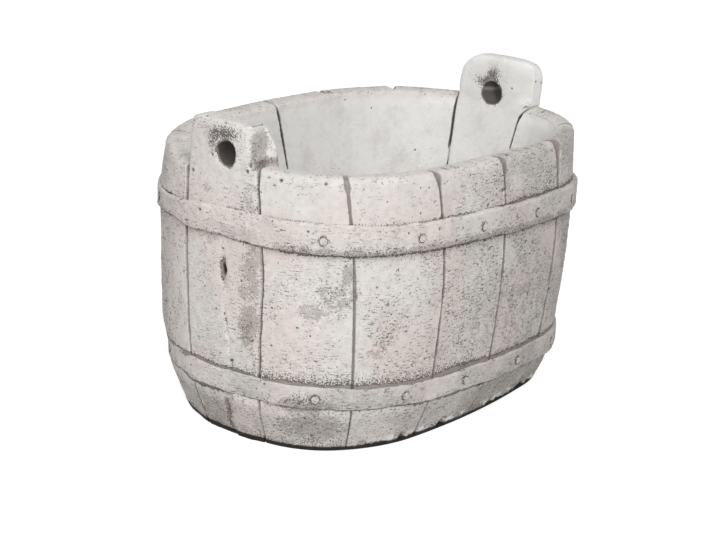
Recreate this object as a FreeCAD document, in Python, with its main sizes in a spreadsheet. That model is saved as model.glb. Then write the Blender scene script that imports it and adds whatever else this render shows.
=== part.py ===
import FreeCAD, Part
import math
import os
import re

import Sketcher

# An oval concrete planter in the form of a coopered tub: fourteen staves round a floor slab, two of them
# taller ears with a hole, held by two hoops that are nailed to the staves.
# Millimetres. The origin is the middle of the underside, +Z is up, the ears stand on the X axis.
# The oval is made of tangent arcs, so every level of the wall is the same set of arcs with other radii.

DOC = FreeCAD.newDocument("Planter")

SIZES = {
    # Oval, on the outer face of the staves where they bulge most: one arc for each kind of stave
    "half_length": 245,
    "end_radius": 300,
    "corner_radius": 123,
    "shoulder_radius": 192,
    "side_radius": 900,
    "ear_width": 100,
    "corner_angle": 52.5,
    # Section of the wall: insets are measured inwards from that oval
    "rim_height": 288,
    "bulge_height": 190,
    "bulge_radius": 1120,
    "chine_height": 46,
    "foot_inset": 29,
    "rim_round": 8,
    "rim_inner_round": 6,
    "inside_top_inset": 31,
    "inside_floor_inset": 52,
    # Raked joints between the staves
    "joint_width": 4,
    "joint_depth": 4,
    "inner_joint_depth": 2,
    # Ears
    "left_ear_rise": 39,
    "right_ear_rise": 48,
    "left_ear_corner": 12,
    "right_ear_corner": 20,
    "ear_slant": 12,
    "ear_edge_round": 6,
    "ear_hole_diameter": 26,
    "ear_hole_rise": 9,
    # Floor slab, whose tongue sits in a groove of the staves, the croze
    "floor_thickness": 34,
    "croze_height": 17,
    "croze_width": 14,
    "croze_depth": 7,
    "floor_clearance": 0.2,
    "drain_diameter": 30,
    # Hoops, which both sit a little lower at the right end
    "upper_hoop_height": 220,
    "upper_hoop_width": 29.5,
    "upper_hoop_proud": 5.5,
    "upper_hoop_tilt": 2.2,
    "lower_hoop_height": 58,
    "lower_hoop_width": 23.5,
    "lower_hoop_proud": 4,
    "lower_hoop_tilt": 1.8,
    "hoop_clearance": 0.2,
    # Nails through the hoops into the staves
    "nail_head_diameter": 9,
    "nail_head_rise": 2,
    "nail_shank_diameter": 4.5,
    "nail_length": 20,
    "nail_shift": 13,
    "nail_clearance": 0.2,
}

SHEET = DOC.addObject("Spreadsheet::Sheet", "Sizes")
for row, (alias, size) in enumerate(SIZES.items(), start=1):
    SHEET.set(f"A{row}", alias)
    SHEET.set(f"B{row}", str(size))
    SHEET.setAlias(f"B{row}", alias)
DOC.recompute()


def formula(text):
    """Turn the names of sizes in a formula into references to their cells."""
    return re.sub(r"[a-z_]+", lambda word: f"Sizes.{word[0]}" if word[0] in SIZES else word[0], text)


def value(text):
    """Work out a formula as a plain number: millimetres or degrees."""
    result = SHEET.evalExpression(formula(text))
    return float(getattr(result, "Value", result))


# Oval: directions in which the arcs meet and where their centres lie, with X and Y positive

EAR_END = "asin(ear_width / 2 / end_radius)"
CORNER_END = "(corner_angle * 1 deg)"
END_X = "(half_length - end_radius)"
CORNER_X = f"({END_X} + (end_radius - corner_radius) * cos({EAR_END}))"
CORNER_Y = f"((end_radius - corner_radius) * sin({EAR_END}))"
SHOULDER_X = f"({CORNER_X} + (corner_radius - shoulder_radius) * cos({CORNER_END}))"
SHOULDER_Y = f"({CORNER_Y} + (corner_radius - shoulder_radius) * sin({CORNER_END}))"
SHOULDER_END = f"acos({SHOULDER_X} / (side_radius - shoulder_radius))"
SIDE_Y = f"({SHOULDER_Y} - (side_radius - shoulder_radius) * sin({SHOULDER_END}))"


def arc_from_to(radius, centre_x, centre_y, first, last):
    """An arc of the oval: plan radius, centre, direction of its middle and the angle it turns through."""
    return radius, centre_x, centre_y, f"(({first} + {last}) / 2)", f"({last} - ({first}))"


END_ARC = arc_from_to("end_radius", END_X, "0", f"-{EAR_END}", EAR_END)
CORNER_ARC = arc_from_to("corner_radius", CORNER_X, CORNER_Y, EAR_END, CORNER_END)
SHOULDER_ARC = arc_from_to("shoulder_radius", SHOULDER_X, SHOULDER_Y, CORNER_END, SHOULDER_END)
HALF_SIDE_ARC = arc_from_to("side_radius", "0", SIDE_Y, SHOULDER_END, "90 deg")
SIDE_ARC = arc_from_to("side_radius", "0", SIDE_Y, SHOULDER_END, f"(180 deg - {SHOULDER_END})")


def mirrored(arc, x_sign, y_sign):
    """Carry an arc of the positive quarter over to another quarter of the oval."""
    radius, centre_x, centre_y, middle, turn = arc
    if x_sign < 0:
        middle = f"(180 deg - {middle})"
    if y_sign < 0:
        middle = f"(-({middle}))"
    return radius, f"({x_sign} * {centre_x})", f"({y_sign} * {centre_y})", middle, turn


# Section of the wall, as offsets from the oval

def bulge(height, inset="0"):
    """Offset of the bulging outer face at a height, or of a face parallel to it."""
    return f"(sqrt((bulge_radius - {inset})^2 - ({height} - bulge_height)^2) - bulge_radius)"


def taper(height):
    """Offset of the tapering face below the chine."""
    return f"((foot_inset + {bulge('chine_height')}) * {height} / chine_height - foot_inset)"


RIM_SHOULDER = "(rim_height - rim_round)"
HOOPS = ("upper", "lower")


def hoop_face(hoop):
    """Offset of the upright outer face of a hoop."""
    return f"({bulge(hoop + '_hoop_height')} + {hoop}_hoop_proud)"


def nail_height(hoop, arc):
    """Height of the nail at the middle of an arc, on the centre line of the tilted hoop."""
    radius, centre_x, _, middle, _ = arc
    reach = f"({centre_x} + ({radius} + {hoop_face(hoop)}) * cos({middle}))"
    return f"({hoop}_hoop_height - {reach} * tan({hoop}_hoop_tilt * 1 deg))"


# Sketches and bodies

def new_sketch(body, name, role):
    sketch = body.newObject("Sketcher::SketchObject", name)
    plane = next(feature for feature in body.Origin.OriginFeatures if feature.Role == role)
    sketch.AttachmentSupport = (plane, [""])
    sketch.MapMode = "FlatFace"
    return sketch


def pin_coordinate(sketch, kind, geometry, end, text):
    """Hold one coordinate of a point to its formula, measured from the sketch's origin."""
    place = value(text)
    if abs(place) < 1e-9:
        axis = -2 if kind == "DistanceX" else -1
        sketch.addConstraint(Sketcher.Constraint("PointOnObject", geometry, end, axis))
        return
    points = (-1, 1, geometry, end) if place > 0 else (geometry, end, -1, 1)
    index = sketch.addConstraint(Sketcher.Constraint(kind, *points, abs(place)))
    sketch.setExpression(f"Constraints[{index}]", formula(text if place > 0 else f"-({text})"))


def arc_between(start, finish, radius, turns_left):
    """A circular arc from one point to the next that bends to the left or to the right."""
    chord = finish - start
    side = FreeCAD.Vector(-chord.y, chord.x, 0).normalize()
    to_centre = math.sqrt(radius**2 - chord.Length**2 / 4)
    centre = (start + finish) / 2 + side * (to_centre if turns_left else -to_centre)
    first, last = (start, finish) if turns_left else (finish, start)
    angles = [math.atan2(point.y - centre.y, point.x - centre.x) for point in (first, last)]
    return Part.ArcOfCircle(Part.Circle(centre, FreeCAD.Vector(0, 0, 1), radius), *angles)


def draw_outline(sketch, corners, arcs):
    """Draw a closed outline. An entry of arcs curves the side after that corner: (radius, turns left)."""
    points = [FreeCAD.Vector(value(across), value(along), 0) for across, along in corners]
    ends = []
    for index, start in enumerate(points):
        finish = points[(index + 1) % len(points)]
        if index in arcs:
            radius, turns_left = arcs[index]
            sketch.addGeometry(arc_between(start, finish, value(radius), turns_left))
            ends.append((1, 2) if turns_left else (2, 1))
        else:
            sketch.addGeometry(Part.LineSegment(start, finish))
            ends.append((1, 2))
    for index, (across, along) in enumerate(corners):
        following = (index + 1) % len(corners)
        joined = (index, ends[index][1], following, ends[following][0])
        sketch.addConstraint(Sketcher.Constraint("Coincident", *joined))
        pin_coordinate(sketch, "DistanceX", index, ends[index][0], across)
        pin_coordinate(sketch, "DistanceY", index, ends[index][0], along)
    for index, (radius, _) in arcs.items():
        constraint = sketch.addConstraint(Sketcher.Constraint("Radius", index, value(radius)))
        sketch.setExpression(f"Constraints[{constraint}]", formula(radius))


def draw_circle(sketch, across, along, diameter):
    centre = FreeCAD.Vector(value(across), value(along), 0)
    circle = sketch.addGeometry(Part.Circle(centre, FreeCAD.Vector(0, 0, 1), value(diameter) / 2))
    pin_coordinate(sketch, "DistanceX", circle, 3, across)
    pin_coordinate(sketch, "DistanceY", circle, 3, along)
    constraint = sketch.addConstraint(Sketcher.Constraint("Diameter", circle, value(diameter)))
    sketch.setExpression(f"Constraints[{constraint}]", formula(diameter))


def revolve(body, name, corners, arcs, turn):
    """Turn an outline in the upright plane about the body's own Z axis, evenly to both sides."""
    sketch = new_sketch(body, f"{name}_outline", "XZ_Plane")
    draw_outline(sketch, corners, arcs)
    feature = body.newObject("PartDesign::Revolution", name)
    feature.Profile = sketch
    feature.ReferenceAxis = (sketch, ["V_Axis"])
    feature.Midplane = True
    feature.setExpression("Angle", formula(turn))


def cut_outwards(body, name, start, draw, turn="0 deg"):
    """Cut what is drawn on an upright plane, from that plane outwards. The turn is from the body's X axis."""
    sketch = new_sketch(body, f"{name}_outline", "YZ_Plane")
    sketch.AttachmentOffset.Rotation = FreeCAD.Rotation(FreeCAD.Vector(0, 1, 0), 1)
    sketch.setExpression("AttachmentOffset.Rotation.Angle", formula(turn))
    sketch.setExpression("AttachmentOffset.Base.x", formula(f"({start}) * sin({turn})"))
    sketch.setExpression("AttachmentOffset.Base.z", formula(f"({start}) * cos({turn})"))
    draw(sketch)
    DOC.recompute()
    pocket = body.newObject("PartDesign::Pocket", name)
    pocket.Profile = sketch
    pocket.Type = "ThroughAll"
    pocket.Reversed = True
    DOC.recompute()
    if body.Shape.Volume >= pocket.BaseFeature.Shape.Volume:
        raise RuntimeError(f"{body.Label}: {name} cuts nothing")


def body_on_arc(label, arc):
    """An empty body whose Z axis is the arc's own axis and whose X axis points at the arc's middle."""
    body = DOC.addObject("PartDesign::Body", label)
    body.Label = label
    body.setExpression("Placement.Base.x", formula(arc[1]))
    body.setExpression("Placement.Base.y", formula(arc[2]))
    body.setExpression("Placement.Rotation.Angle", formula(arc[3]))
    return body


# Staves: blocks with a bulging face, raked back along their joints, with a croze for the floor

def foot_of_stave(radius):
    """The corners of the inner face, from just above the floor down to the underside."""
    inner_face = f"{radius} - inside_floor_inset"
    croze_face = f"{inner_face} + croze_depth"
    return [
        (inner_face, "floor_thickness"),
        (inner_face, "croze_height + croze_width / 2"),
        (croze_face, "croze_height + croze_width / 2"),
        (croze_face, "croze_height - croze_width / 2"),
        (inner_face, "croze_height - croze_width / 2"),
        (inner_face, "0"),
    ]


def stave_outline(radius, outer_inset="0", inner_inset="0"):
    """Section of a stave that ends at the rim. The insets make the core that shows in the joints."""
    shoulder = f"{radius} + {bulge(RIM_SHOULDER, outer_inset)}"
    inner_top = f"{radius} - inside_top_inset + {inner_inset}"
    corners = [
        (f"{radius} - foot_inset - {outer_inset}", "0"),
        (f"{radius} + {bulge('chine_height', outer_inset)}", "chine_height"),
        (shoulder, RIM_SHOULDER),
        (f"{shoulder} - (rim_round - {outer_inset})", f"rim_height - {outer_inset}"),
        (f"{inner_top} + rim_inner_round - {inner_inset}", f"rim_height - {outer_inset}"),
        (inner_top, f"rim_height - rim_inner_round + {inner_inset} - {outer_inset}"),
    ]
    arcs = {
        1: (f"bulge_radius - {outer_inset}", True),
        2: (f"rim_round - {outer_inset}", True),
        4: (f"rim_inner_round - {inner_inset}", True),
    }
    return corners + foot_of_stave(radius), arcs


def ear_outline(radius, rise):
    """Section of an ear stave, which goes on upright above the rim."""
    outer_face = f"{radius} + {bulge(RIM_SHOULDER)}"
    inner_face = f"{radius} - inside_top_inset"
    corners = [
        (f"{radius} - foot_inset", "0"),
        (f"{radius} + {bulge('chine_height')}", "chine_height"),
        (outer_face, RIM_SHOULDER),
        (outer_face, f"rim_height + {rise} - ear_edge_round"),
        (f"{outer_face} - ear_edge_round", f"rim_height + {rise}"),
        (f"{inner_face} + ear_edge_round", f"rim_height + {rise}"),
        (inner_face, f"rim_height + {rise} - ear_edge_round"),
        (inner_face, "rim_height - rim_inner_round"),
    ]
    arcs = {
        1: ("bulge_radius", True),
        3: ("ear_edge_round", True),
        5: ("ear_edge_round", True),
    }
    return corners + foot_of_stave(radius), arcs


def stave_blank(label, arc, outline):
    """The core fills the stave's whole angle. The faced block stands back from both joints."""
    radius, turn = arc[0], arc[4]
    body = body_on_arc(label, arc)
    core = stave_outline(radius, "joint_depth", "inner_joint_depth")
    revolve(body, f"{label}_core", *core, turn)
    revolve(body, f"{label}_block", *outline, f"{turn} - 2 * asin(joint_width / 2 / {radius})")
    return body


def make_stave(label, arc, nail_arc):
    body = stave_blank(label, arc, stave_outline(arc[0]))
    for hoop in HOOPS:
        bottom = f"{arc[0]} + {hoop_face(hoop)} - nail_length - nail_clearance"
        height = nail_height(hoop, nail_arc)
        bore = "nail_shank_diameter + 2 * nail_clearance"
        cut_outwards(
            body,
            f"{label}_{hoop}_nail_hole",
            bottom,
            lambda sketch: draw_circle(sketch, "0", height, bore),
            f"({nail_arc[3]} - {arc[3]})",
        )
    return body


def make_ear(label, arc, rise, corner):
    """An ear with both upper corners rounded. One side is upright, and the other slants in from the rim."""
    body = stave_blank(label, arc, ear_outline(arc[0], rise))
    half_width = "((ear_width - joint_width) / 2)"
    top = f"rim_height + {rise}"
    clear = f"({half_width} + {corner})"
    upright = [
        (f"-({half_width} - {corner})", top),
        (f"-({half_width} - {corner})", f"{top} + {corner}"),
        (f"-{clear}", f"{top} + {corner}"),
        (f"-{clear}", f"{top} - {corner}"),
        (f"-{half_width}", f"{top} - {corner}"),
    ]
    lean = f"atan(ear_slant / {rise})"
    cut_back = f"({corner} * tan((90 deg - {lean}) / 2))"
    round_top = f"({half_width} - ear_slant - {cut_back})"
    slanted = [
        (round_top, top),
        (round_top, f"{top} + {corner}"),
        (clear, f"{top} + {corner}"),
        (clear, "rim_height"),
        (half_width, "rim_height"),
        (f"({half_width} - ear_slant + {cut_back} * sin({lean}))", f"{top} - {cut_back} * cos({lean})"),
    ]
    for side, outline, turns_left in (("upright", upright, False), ("slanted", slanted, True)):
        rounding = {len(outline) - 1: (corner, turns_left)}
        cut_outwards(
            body, f"{label}_{side}_corner", "0", lambda sketch: draw_outline(sketch, outline, rounding)
        )
    cut_outwards(
        body,
        f"{label}_hole",
        "0",
        lambda sketch: draw_circle(sketch, "0", "rim_height + ear_hole_rise", "ear_hole_diameter"),
    )
    return body


pieces = [
    make_ear("left_ear_stave", mirrored(END_ARC, -1, 1), "left_ear_rise", "left_ear_corner"),
    make_ear("right_ear_stave", END_ARC, "right_ear_rise", "right_ear_corner"),
]


def both_halves(half_row, y_sign):
    """The arcs of one long side, left to right, from those of its right half."""
    row = [mirrored(arc, -1, y_sign) for arc in half_row]
    return row + [mirrored(arc, 1, y_sign) for arc in reversed(half_row)]


def shifted_to_nail(arc):
    """The same arc with its nail's direction for its middle: nails at the bends stand nearer to the side."""
    radius, centre_x, centre_y, middle, turn = arc
    return radius, centre_x, centre_y, f"({middle} + asin(nail_shift / {radius}))", turn


half_row = [CORNER_ARC, SHOULDER_ARC, HALF_SIDE_ARC]
half_row_nails = [shifted_to_nail(CORNER_ARC), shifted_to_nail(SHOULDER_ARC), HALF_SIDE_ARC]
nail_arcs = []
for side, y_sign in (("front", -1), ("back", 1)):
    row_nails = both_halves(half_row_nails, y_sign)
    nail_arcs += row_nails
    for number, (arc, nail_arc) in enumerate(zip(both_halves(half_row, y_sign), row_nails), start=1):
        pieces.append(make_stave(f"{side}_stave_{number}", arc, nail_arc))


# Floor slab: an oval plate with a tongue round its edge and a drain hole in the middle

def draw_oval(sketch, offset):
    """The oval, moved in or out by an offset, as arcs from one meeting point to the next."""
    meetings = [
        (
            f"({END_X} + (end_radius + {offset}) * cos({EAR_END}))",
            f"((end_radius + {offset}) * sin({EAR_END}))",
        ),
        (
            f"({CORNER_X} + (corner_radius + {offset}) * cos({CORNER_END}))",
            f"({CORNER_Y} + (corner_radius + {offset}) * sin({CORNER_END}))",
        ),
        (
            f"((side_radius + {offset}) * cos({SHOULDER_END}))",
            f"({SIDE_Y} + (side_radius + {offset}) * sin({SHOULDER_END}))",
        ),
    ]
    corners = list(meetings)
    corners += [(f"-{across}", along) for across, along in reversed(meetings)]
    corners += [(f"-{across}", f"-{along}") for across, along in meetings]
    corners += [(across, f"-{along}") for across, along in reversed(meetings)]
    order = ["corner", "shoulder", "side", "shoulder", "corner", "end"]
    arcs = {index: (f"{order[index % 6]}_radius + {offset}", True) for index in range(len(corners))}
    draw_outline(sketch, corners, arcs)


def pad_oval(body, name, offset, bottom, height):
    sketch = new_sketch(body, f"{name}_outline", "XY_Plane")
    sketch.setExpression("AttachmentOffset.Base.z", formula(bottom))
    draw_oval(sketch, offset)
    pad = body.newObject("PartDesign::Pad", name)
    pad.Profile = sketch
    pad.setExpression("Length", formula(height))


def make_floor():
    body = DOC.addObject("PartDesign::Body", "floor_slab")
    body.Label = "floor_slab"
    edge = "(-inside_floor_inset - floor_clearance)"
    pad_oval(body, "plate", edge, "0", "floor_thickness")
    pad_oval(
        body,
        "tongue",
        f"({edge} + croze_depth)",
        "croze_height - croze_width / 2 + floor_clearance",
        "croze_width - 2 * floor_clearance",
    )
    sketch = new_sketch(body, "drain_outline", "XY_Plane")
    draw_circle(sketch, "0", "0", "drain_diameter")
    DOC.recompute()
    drain = body.newObject("PartDesign::Pocket", "drain")
    drain.Profile = sketch
    drain.Type = "ThroughAll"
    drain.Midplane = True
    return body


pieces.append(make_floor())


# Hoops: bands that lie on the staves all round, trimmed top and bottom by two tilted planes

def hoop_outline(radius, hoop):
    """Section of the untrimmed band, tall enough for the tilt, with the wall's own face on its inside."""
    reach = f"({hoop}_hoop_width + half_length * tan({hoop}_hoop_tilt * 1 deg))"
    low = f"({hoop}_hoop_height - {reach})"
    high = f"({hoop}_hoop_height + {reach})"
    face = f"{radius} + {hoop_face(hoop)}"
    clear_of_wall = f"{radius} + hoop_clearance"
    corners = [(face, low), (face, high), (f"{clear_of_wall} + {bulge(high)}", high)]
    if value(low) < value("chine_height"):
        corners.append((f"{clear_of_wall} + {bulge('chine_height')}", "chine_height"))
        corners.append((f"{clear_of_wall} + {taper(low)}", low))
    else:
        corners.append((f"{clear_of_wall} + {bulge(low)}", low))
    return corners, {2: ("bulge_radius", False)}


def make_trimming_slab(hoop):
    """A slab as thick as the hoop is wide, turned about the Y axis by the hoop's tilt."""
    tilt = f"({hoop}_hoop_tilt * 1 deg)"
    half_slab = "(2 * half_length)"
    half_width = f"({hoop}_hoop_width / 2)"
    slab = DOC.addObject("Part::Box", f"{hoop}_hoop_slab")
    slab.setExpression("Length", formula(f"2 * {half_slab}"))
    slab.setExpression("Width", formula(f"2 * {half_slab}"))
    slab.setExpression("Height", formula(f"2 * {half_width}"))
    slab.Placement.Rotation = FreeCAD.Rotation(FreeCAD.Vector(0, 1, 0), 1)
    slab.setExpression("Placement.Rotation.Angle", formula(tilt))
    slab.setExpression(
        "Placement.Base.x", formula(f"-{half_slab} * cos({tilt}) - {half_width} * sin({tilt})")
    )
    slab.setExpression("Placement.Base.y", formula(f"-{half_slab}"))
    slab.setExpression(
        "Placement.Base.z",
        formula(f"{hoop}_hoop_height + {half_slab} * sin({tilt}) - {half_width} * cos({tilt})"),
    )
    return slab


def make_nail_drill(hoop, arc, number):
    """The round hole that a nail needs through its hoop."""
    radius, centre_x, centre_y, middle, _ = arc
    start = f"({radius} + {hoop_face(hoop)} - nail_length)"
    drill = DOC.addObject("Part::Cylinder", f"{hoop}_nail_drill_{number}")
    drill.setExpression("Radius", formula("nail_shank_diameter / 2 + nail_clearance"))
    drill.setExpression("Height", formula("2 * nail_length"))
    drill.Placement.Rotation = FreeCAD.Rotation(FreeCAD.Vector(0, 1, 0), 90)
    drill.setExpression("Placement.Rotation.Axis.x", formula(f"-sin({middle})"))
    drill.setExpression("Placement.Rotation.Axis.y", formula(f"cos({middle})"))
    drill.setExpression("Placement.Base.x", formula(f"{centre_x} + {start} * cos({middle})"))
    drill.setExpression("Placement.Base.y", formula(f"{centre_y} + {start} * sin({middle})"))
    drill.setExpression("Placement.Base.z", formula(nail_height(hoop, arc)))
    return drill


def make_hoop(hoop):
    arcs = [mirrored(END_ARC, x_sign, 1) for x_sign in (-1, 1)]
    arcs += [mirrored(SIDE_ARC, 1, y_sign) for y_sign in (-1, 1)]
    for bend in (CORNER_ARC, SHOULDER_ARC):
        arcs += [mirrored(bend, x_sign, y_sign) for x_sign in (-1, 1) for y_sign in (-1, 1)]
    lengths = []
    for number, arc in enumerate(arcs, start=1):
        length = body_on_arc(f"{hoop}_hoop_length_{number}", arc)
        revolve(length, f"{hoop}_hoop_band_{number}", *hoop_outline(arc[0], hoop), arc[4])
        lengths.append(length)
    ring = DOC.addObject("Part::MultiFuse", f"{hoop}_hoop_ring")
    ring.Shapes = lengths
    ring.Refine = True
    band = DOC.addObject("Part::Common", f"{hoop}_hoop_band")
    band.Base = ring
    band.Tool = make_trimming_slab(hoop)
    drills = DOC.addObject("Part::Compound", f"{hoop}_nail_drills")
    drills.Links = [make_nail_drill(hoop, arc, number) for number, arc in enumerate(nail_arcs, start=1)]
    drilled = DOC.addObject("Part::Cut", f"{hoop}_hoop")
    drilled.Label = f"{hoop}_hoop"
    drilled.Base = band
    drilled.Tool = drills
    return drilled


# Nails: a low domed head on the hoop's face and a shank that reaches into the stave

def make_nail(hoop, arc, number):
    radius, centre_x, centre_y, middle, _ = arc
    seat = f"({radius} + {hoop_face(hoop)})"
    body = DOC.addObject("PartDesign::Body", f"{hoop}_nail_{number}")
    body.setExpression("Placement.Base.x", formula(f"{centre_x} + {seat} * cos({middle})"))
    body.setExpression("Placement.Base.y", formula(f"{centre_y} + {seat} * sin({middle})"))
    body.setExpression("Placement.Base.z", formula(nail_height(hoop, arc)))
    body.setExpression("Placement.Rotation.Angle", formula(middle))
    corners = [
        ("-nail_length", "0"),
        ("nail_head_rise", "0"),
        ("0", "nail_head_diameter / 2"),
        ("0", "nail_shank_diameter / 2"),
        ("-nail_length", "nail_shank_diameter / 2"),
    ]
    dome = "((nail_head_diameter / 2)^2 + nail_head_rise^2) / (2 * nail_head_rise)"
    sketch = new_sketch(body, f"{hoop}_nail_{number}_outline", "XY_Plane")
    draw_outline(sketch, corners, {1: (dome, True)})
    turned = body.newObject("PartDesign::Revolution", f"{hoop}_nail_{number}_turned")
    turned.Profile = sketch
    turned.ReferenceAxis = (sketch, ["H_Axis"])
    turned.Angle = 360
    return body


for hoop in HOOPS:
    pieces.append(make_hoop(hoop))
    nails = DOC.addObject("Part::Compound", f"{hoop}_hoop_nails")
    nails.Label = f"{hoop}_hoop_nails"
    nails.Links = [make_nail(hoop, arc, number) for number, arc in enumerate(nail_arcs, start=1)]
    pieces.append(nails)


# Check every object, then write each piece

DOC.recompute()
failed = [item.Name for item in DOC.Objects if {"Invalid", "Error"} & set(item.State)]
if failed:
    raise RuntimeError(f"failed objects: {failed}")
for piece in pieces:
    if piece.Shape.isNull() or not piece.Shape.isValid() or not piece.Shape.Solids:
        raise RuntimeError(f"{piece.Label} has no valid shape")

os.makedirs("parts", exist_ok=True)
for piece in pieces:
    piece.Shape.exportStep(f"parts/{piece.Label}.step")
    print(piece.Label, len(piece.Shape.Solids), round(piece.Shape.Volume / 1000, 1), "cm3")
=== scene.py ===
import math
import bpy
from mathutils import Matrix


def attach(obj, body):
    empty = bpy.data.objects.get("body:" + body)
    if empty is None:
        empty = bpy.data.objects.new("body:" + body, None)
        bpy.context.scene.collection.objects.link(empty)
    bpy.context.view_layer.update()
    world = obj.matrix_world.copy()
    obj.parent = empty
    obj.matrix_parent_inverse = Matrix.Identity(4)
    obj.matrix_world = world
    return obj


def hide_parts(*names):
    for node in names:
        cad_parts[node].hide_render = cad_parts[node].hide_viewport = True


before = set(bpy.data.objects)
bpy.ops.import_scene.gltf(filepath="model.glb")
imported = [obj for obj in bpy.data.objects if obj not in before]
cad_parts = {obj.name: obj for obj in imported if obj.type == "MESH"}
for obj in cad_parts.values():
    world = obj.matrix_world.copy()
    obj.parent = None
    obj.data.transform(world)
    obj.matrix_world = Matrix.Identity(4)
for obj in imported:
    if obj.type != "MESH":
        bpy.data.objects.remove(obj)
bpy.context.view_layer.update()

from types import SimpleNamespace

import bmesh
import bpy
import numpy as np
from mathutils import Matrix, Vector

# Staves
# Twelve upright blocks of pale cast concrete that stand round the tub like a cooper's boards. Each one bulges
# outwards, tapers in to its foot and ends in a flat rim, and a shallow groove parts it from its neighbours.
# The skin is as it left the mould and weathered since: faint waves, pits, air holes, grey dirt and painted
# shade in hollows.

HALF_LENGTH = 0.245
END_RADIUS = 0.300
CORNER_RADIUS = 0.123
SHOULDER_RADIUS = 0.192
SIDE_RADIUS = 0.900
EAR_HALF_WIDTH = 0.050
EAR_ANGLE = math.asin(EAR_HALF_WIDTH / END_RADIUS)
CORNER_ANGLE = math.radians(52.5)

RIM_HEIGHT = 0.288
RIM_ROUND = 0.008
RIM_INNER_ROUND = 0.006
BULGE_HEIGHT = 0.190
BULGE_RADIUS = 1.120
CHINE_HEIGHT = 0.046
CHINE_ROUND = 0.050
FOOT_SET_BACK = 0.029
FOOT_ROUND = 0.004
INSIDE_TOP_SET_BACK = 0.031
INSIDE_FLOOR_SET_BACK = 0.052
FLOOR_THICKNESS = 0.034
CROZE_TOP = 0.024
CROZE_FOOT = 0.010
CROZE_DEPTH = 0.007

GROOVE_DEPTH = 0.0040
GROOVE_INNER_DEPTH = 0.0034
GROOVE_INNER_SHARE = 0.72
GROOVE_BLUR = 4
NOTCH_FLARE = 1.1
LIP_HEIGHT = 0.0006
CHIP_DEPTH = 0.0055


def direction(angle):
    """A step of one metre in plan."""
    return np.array([math.cos(angle), math.sin(angle)])


end_centre = np.array([HALF_LENGTH - END_RADIUS, 0.0])
corner_centre = end_centre + (END_RADIUS - CORNER_RADIUS) * direction(EAR_ANGLE)
shoulder_centre = corner_centre + (CORNER_RADIUS - SHOULDER_RADIUS) * direction(CORNER_ANGLE)
SIDE_ANGLE = math.acos(shoulder_centre[0] / (SIDE_RADIUS - SHOULDER_RADIUS))
side_centre = shoulder_centre - (SIDE_RADIUS - SHOULDER_RADIUS) * direction(SIDE_ANGLE)
QUARTER = {
    "end": (end_centre, END_RADIUS, -EAR_ANGLE, EAR_ANGLE),
    "corner": (corner_centre, CORNER_RADIUS, EAR_ANGLE, CORNER_ANGLE),
    "shoulder": (shoulder_centre, SHOULDER_RADIUS, CORNER_ANGLE, SIDE_ANGLE),
    "side": (side_centre, SIDE_RADIUS, SIDE_ANGLE, math.pi / 2),
}


def oval_arc(kind, side_x, side_y):
    """Centre, radius, first and last angle of one piece of the oval, in any of its four quarters."""
    centre, radius, start, end = QUARTER[kind]
    angles = [math.atan2(side_y * math.sin(angle), side_x * math.cos(angle)) for angle in (start, end)]
    if side_x < 0:
        angles = [angle % (2 * math.pi) for angle in angles]
    return centre * (side_x, side_y), radius, min(angles), max(angles)


# The pieces of the wall in order round the tub. Lengths along the oval start at the left ear's back edge.
RING = {"left_ear_stave": oval_arc("end", -1, 1)}
HALF_SIDE = [("corner", -1), ("shoulder", -1), ("side", -1), ("side", 1), ("shoulder", 1), ("corner", 1)]
for number, (kind, side_x) in enumerate(HALF_SIDE, 1):
    RING[f"front_stave_{number}"] = oval_arc(kind, side_x, -1)
RING["right_ear_stave"] = oval_arc("end", 1, 1)
for number, (kind, side_x) in reversed(list(enumerate(HALF_SIDE, 1))):
    RING[f"back_stave_{number}"] = oval_arc(kind, side_x, 1)
BEFORE = dict(zip(list(RING)[1:] + list(RING)[:1], RING))
ring_centres, ring_radii, ring_firsts, ring_lasts = map(np.array, zip(*RING.values()))
ring_ends = np.cumsum(ring_radii * (ring_lasts - ring_firsts))
ring_starts = np.concatenate([[0.0], ring_ends[:-1]])
OVAL_LENGTH = ring_ends[-1]
STARTS = dict(zip(RING, ring_starts))
LENGTHS = dict(zip(RING, ring_ends - ring_starts))


def on_oval(along, set_back):
    """X and Y of a place on the wall: a length along the oval, and how far it lies outside the oval."""
    along = np.asarray(along) % OVAL_LENGTH
    piece = np.searchsorted(ring_ends, along, side="right").clip(max=len(RING) - 1)
    angle = ring_firsts[piece] + (along - ring_starts[piece]) / ring_radii[piece]
    across = ring_radii[piece] + set_back
    return ring_centres[piece, 0] + across * np.cos(angle), ring_centres[piece, 1] + across * np.sin(angle)


def ring_gap(along, place):
    """Shortest way round the oval between two places."""
    gap = np.abs(along - place) % OVAL_LENGTH
    return np.minimum(gap, OVAL_LENGTH - gap)


def smooth_step(low, high, place):
    """A smooth change from 0 at the low place to 1 at the high one. Low may be the larger of the two."""
    share = np.clip((np.asarray(place) - low) / (high - low), 0.0, 1.0)
    return share * share * (3 - 2 * share)


def fading(place, full, end):
    """1 up to one place, and from there a smooth fall to 0 at another."""
    return 1 - smooth_step(full, end, place)


def around(along, place, full, end):
    """1 within one length of a place on the oval, and a smooth fall to 0 at another length from it."""
    return fading(ring_gap(along, place), full, end)


WANDER_KNOTS = 1024


def wander(place, size, seed):
    """Smooth random values from -1 to 1 along a line, which change over about one size."""
    knots = np.random.default_rng(seed).uniform(-1, 1, WANDER_KNOTS)
    spot = np.asarray(place) / size
    low = np.floor(spot).astype(int)
    share = smooth_step(0, 1, spot - low)
    return knots[low % WANDER_KNOTS] * (1 - share) + knots[(low + 1) % WANDER_KNOTS] * share


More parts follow.
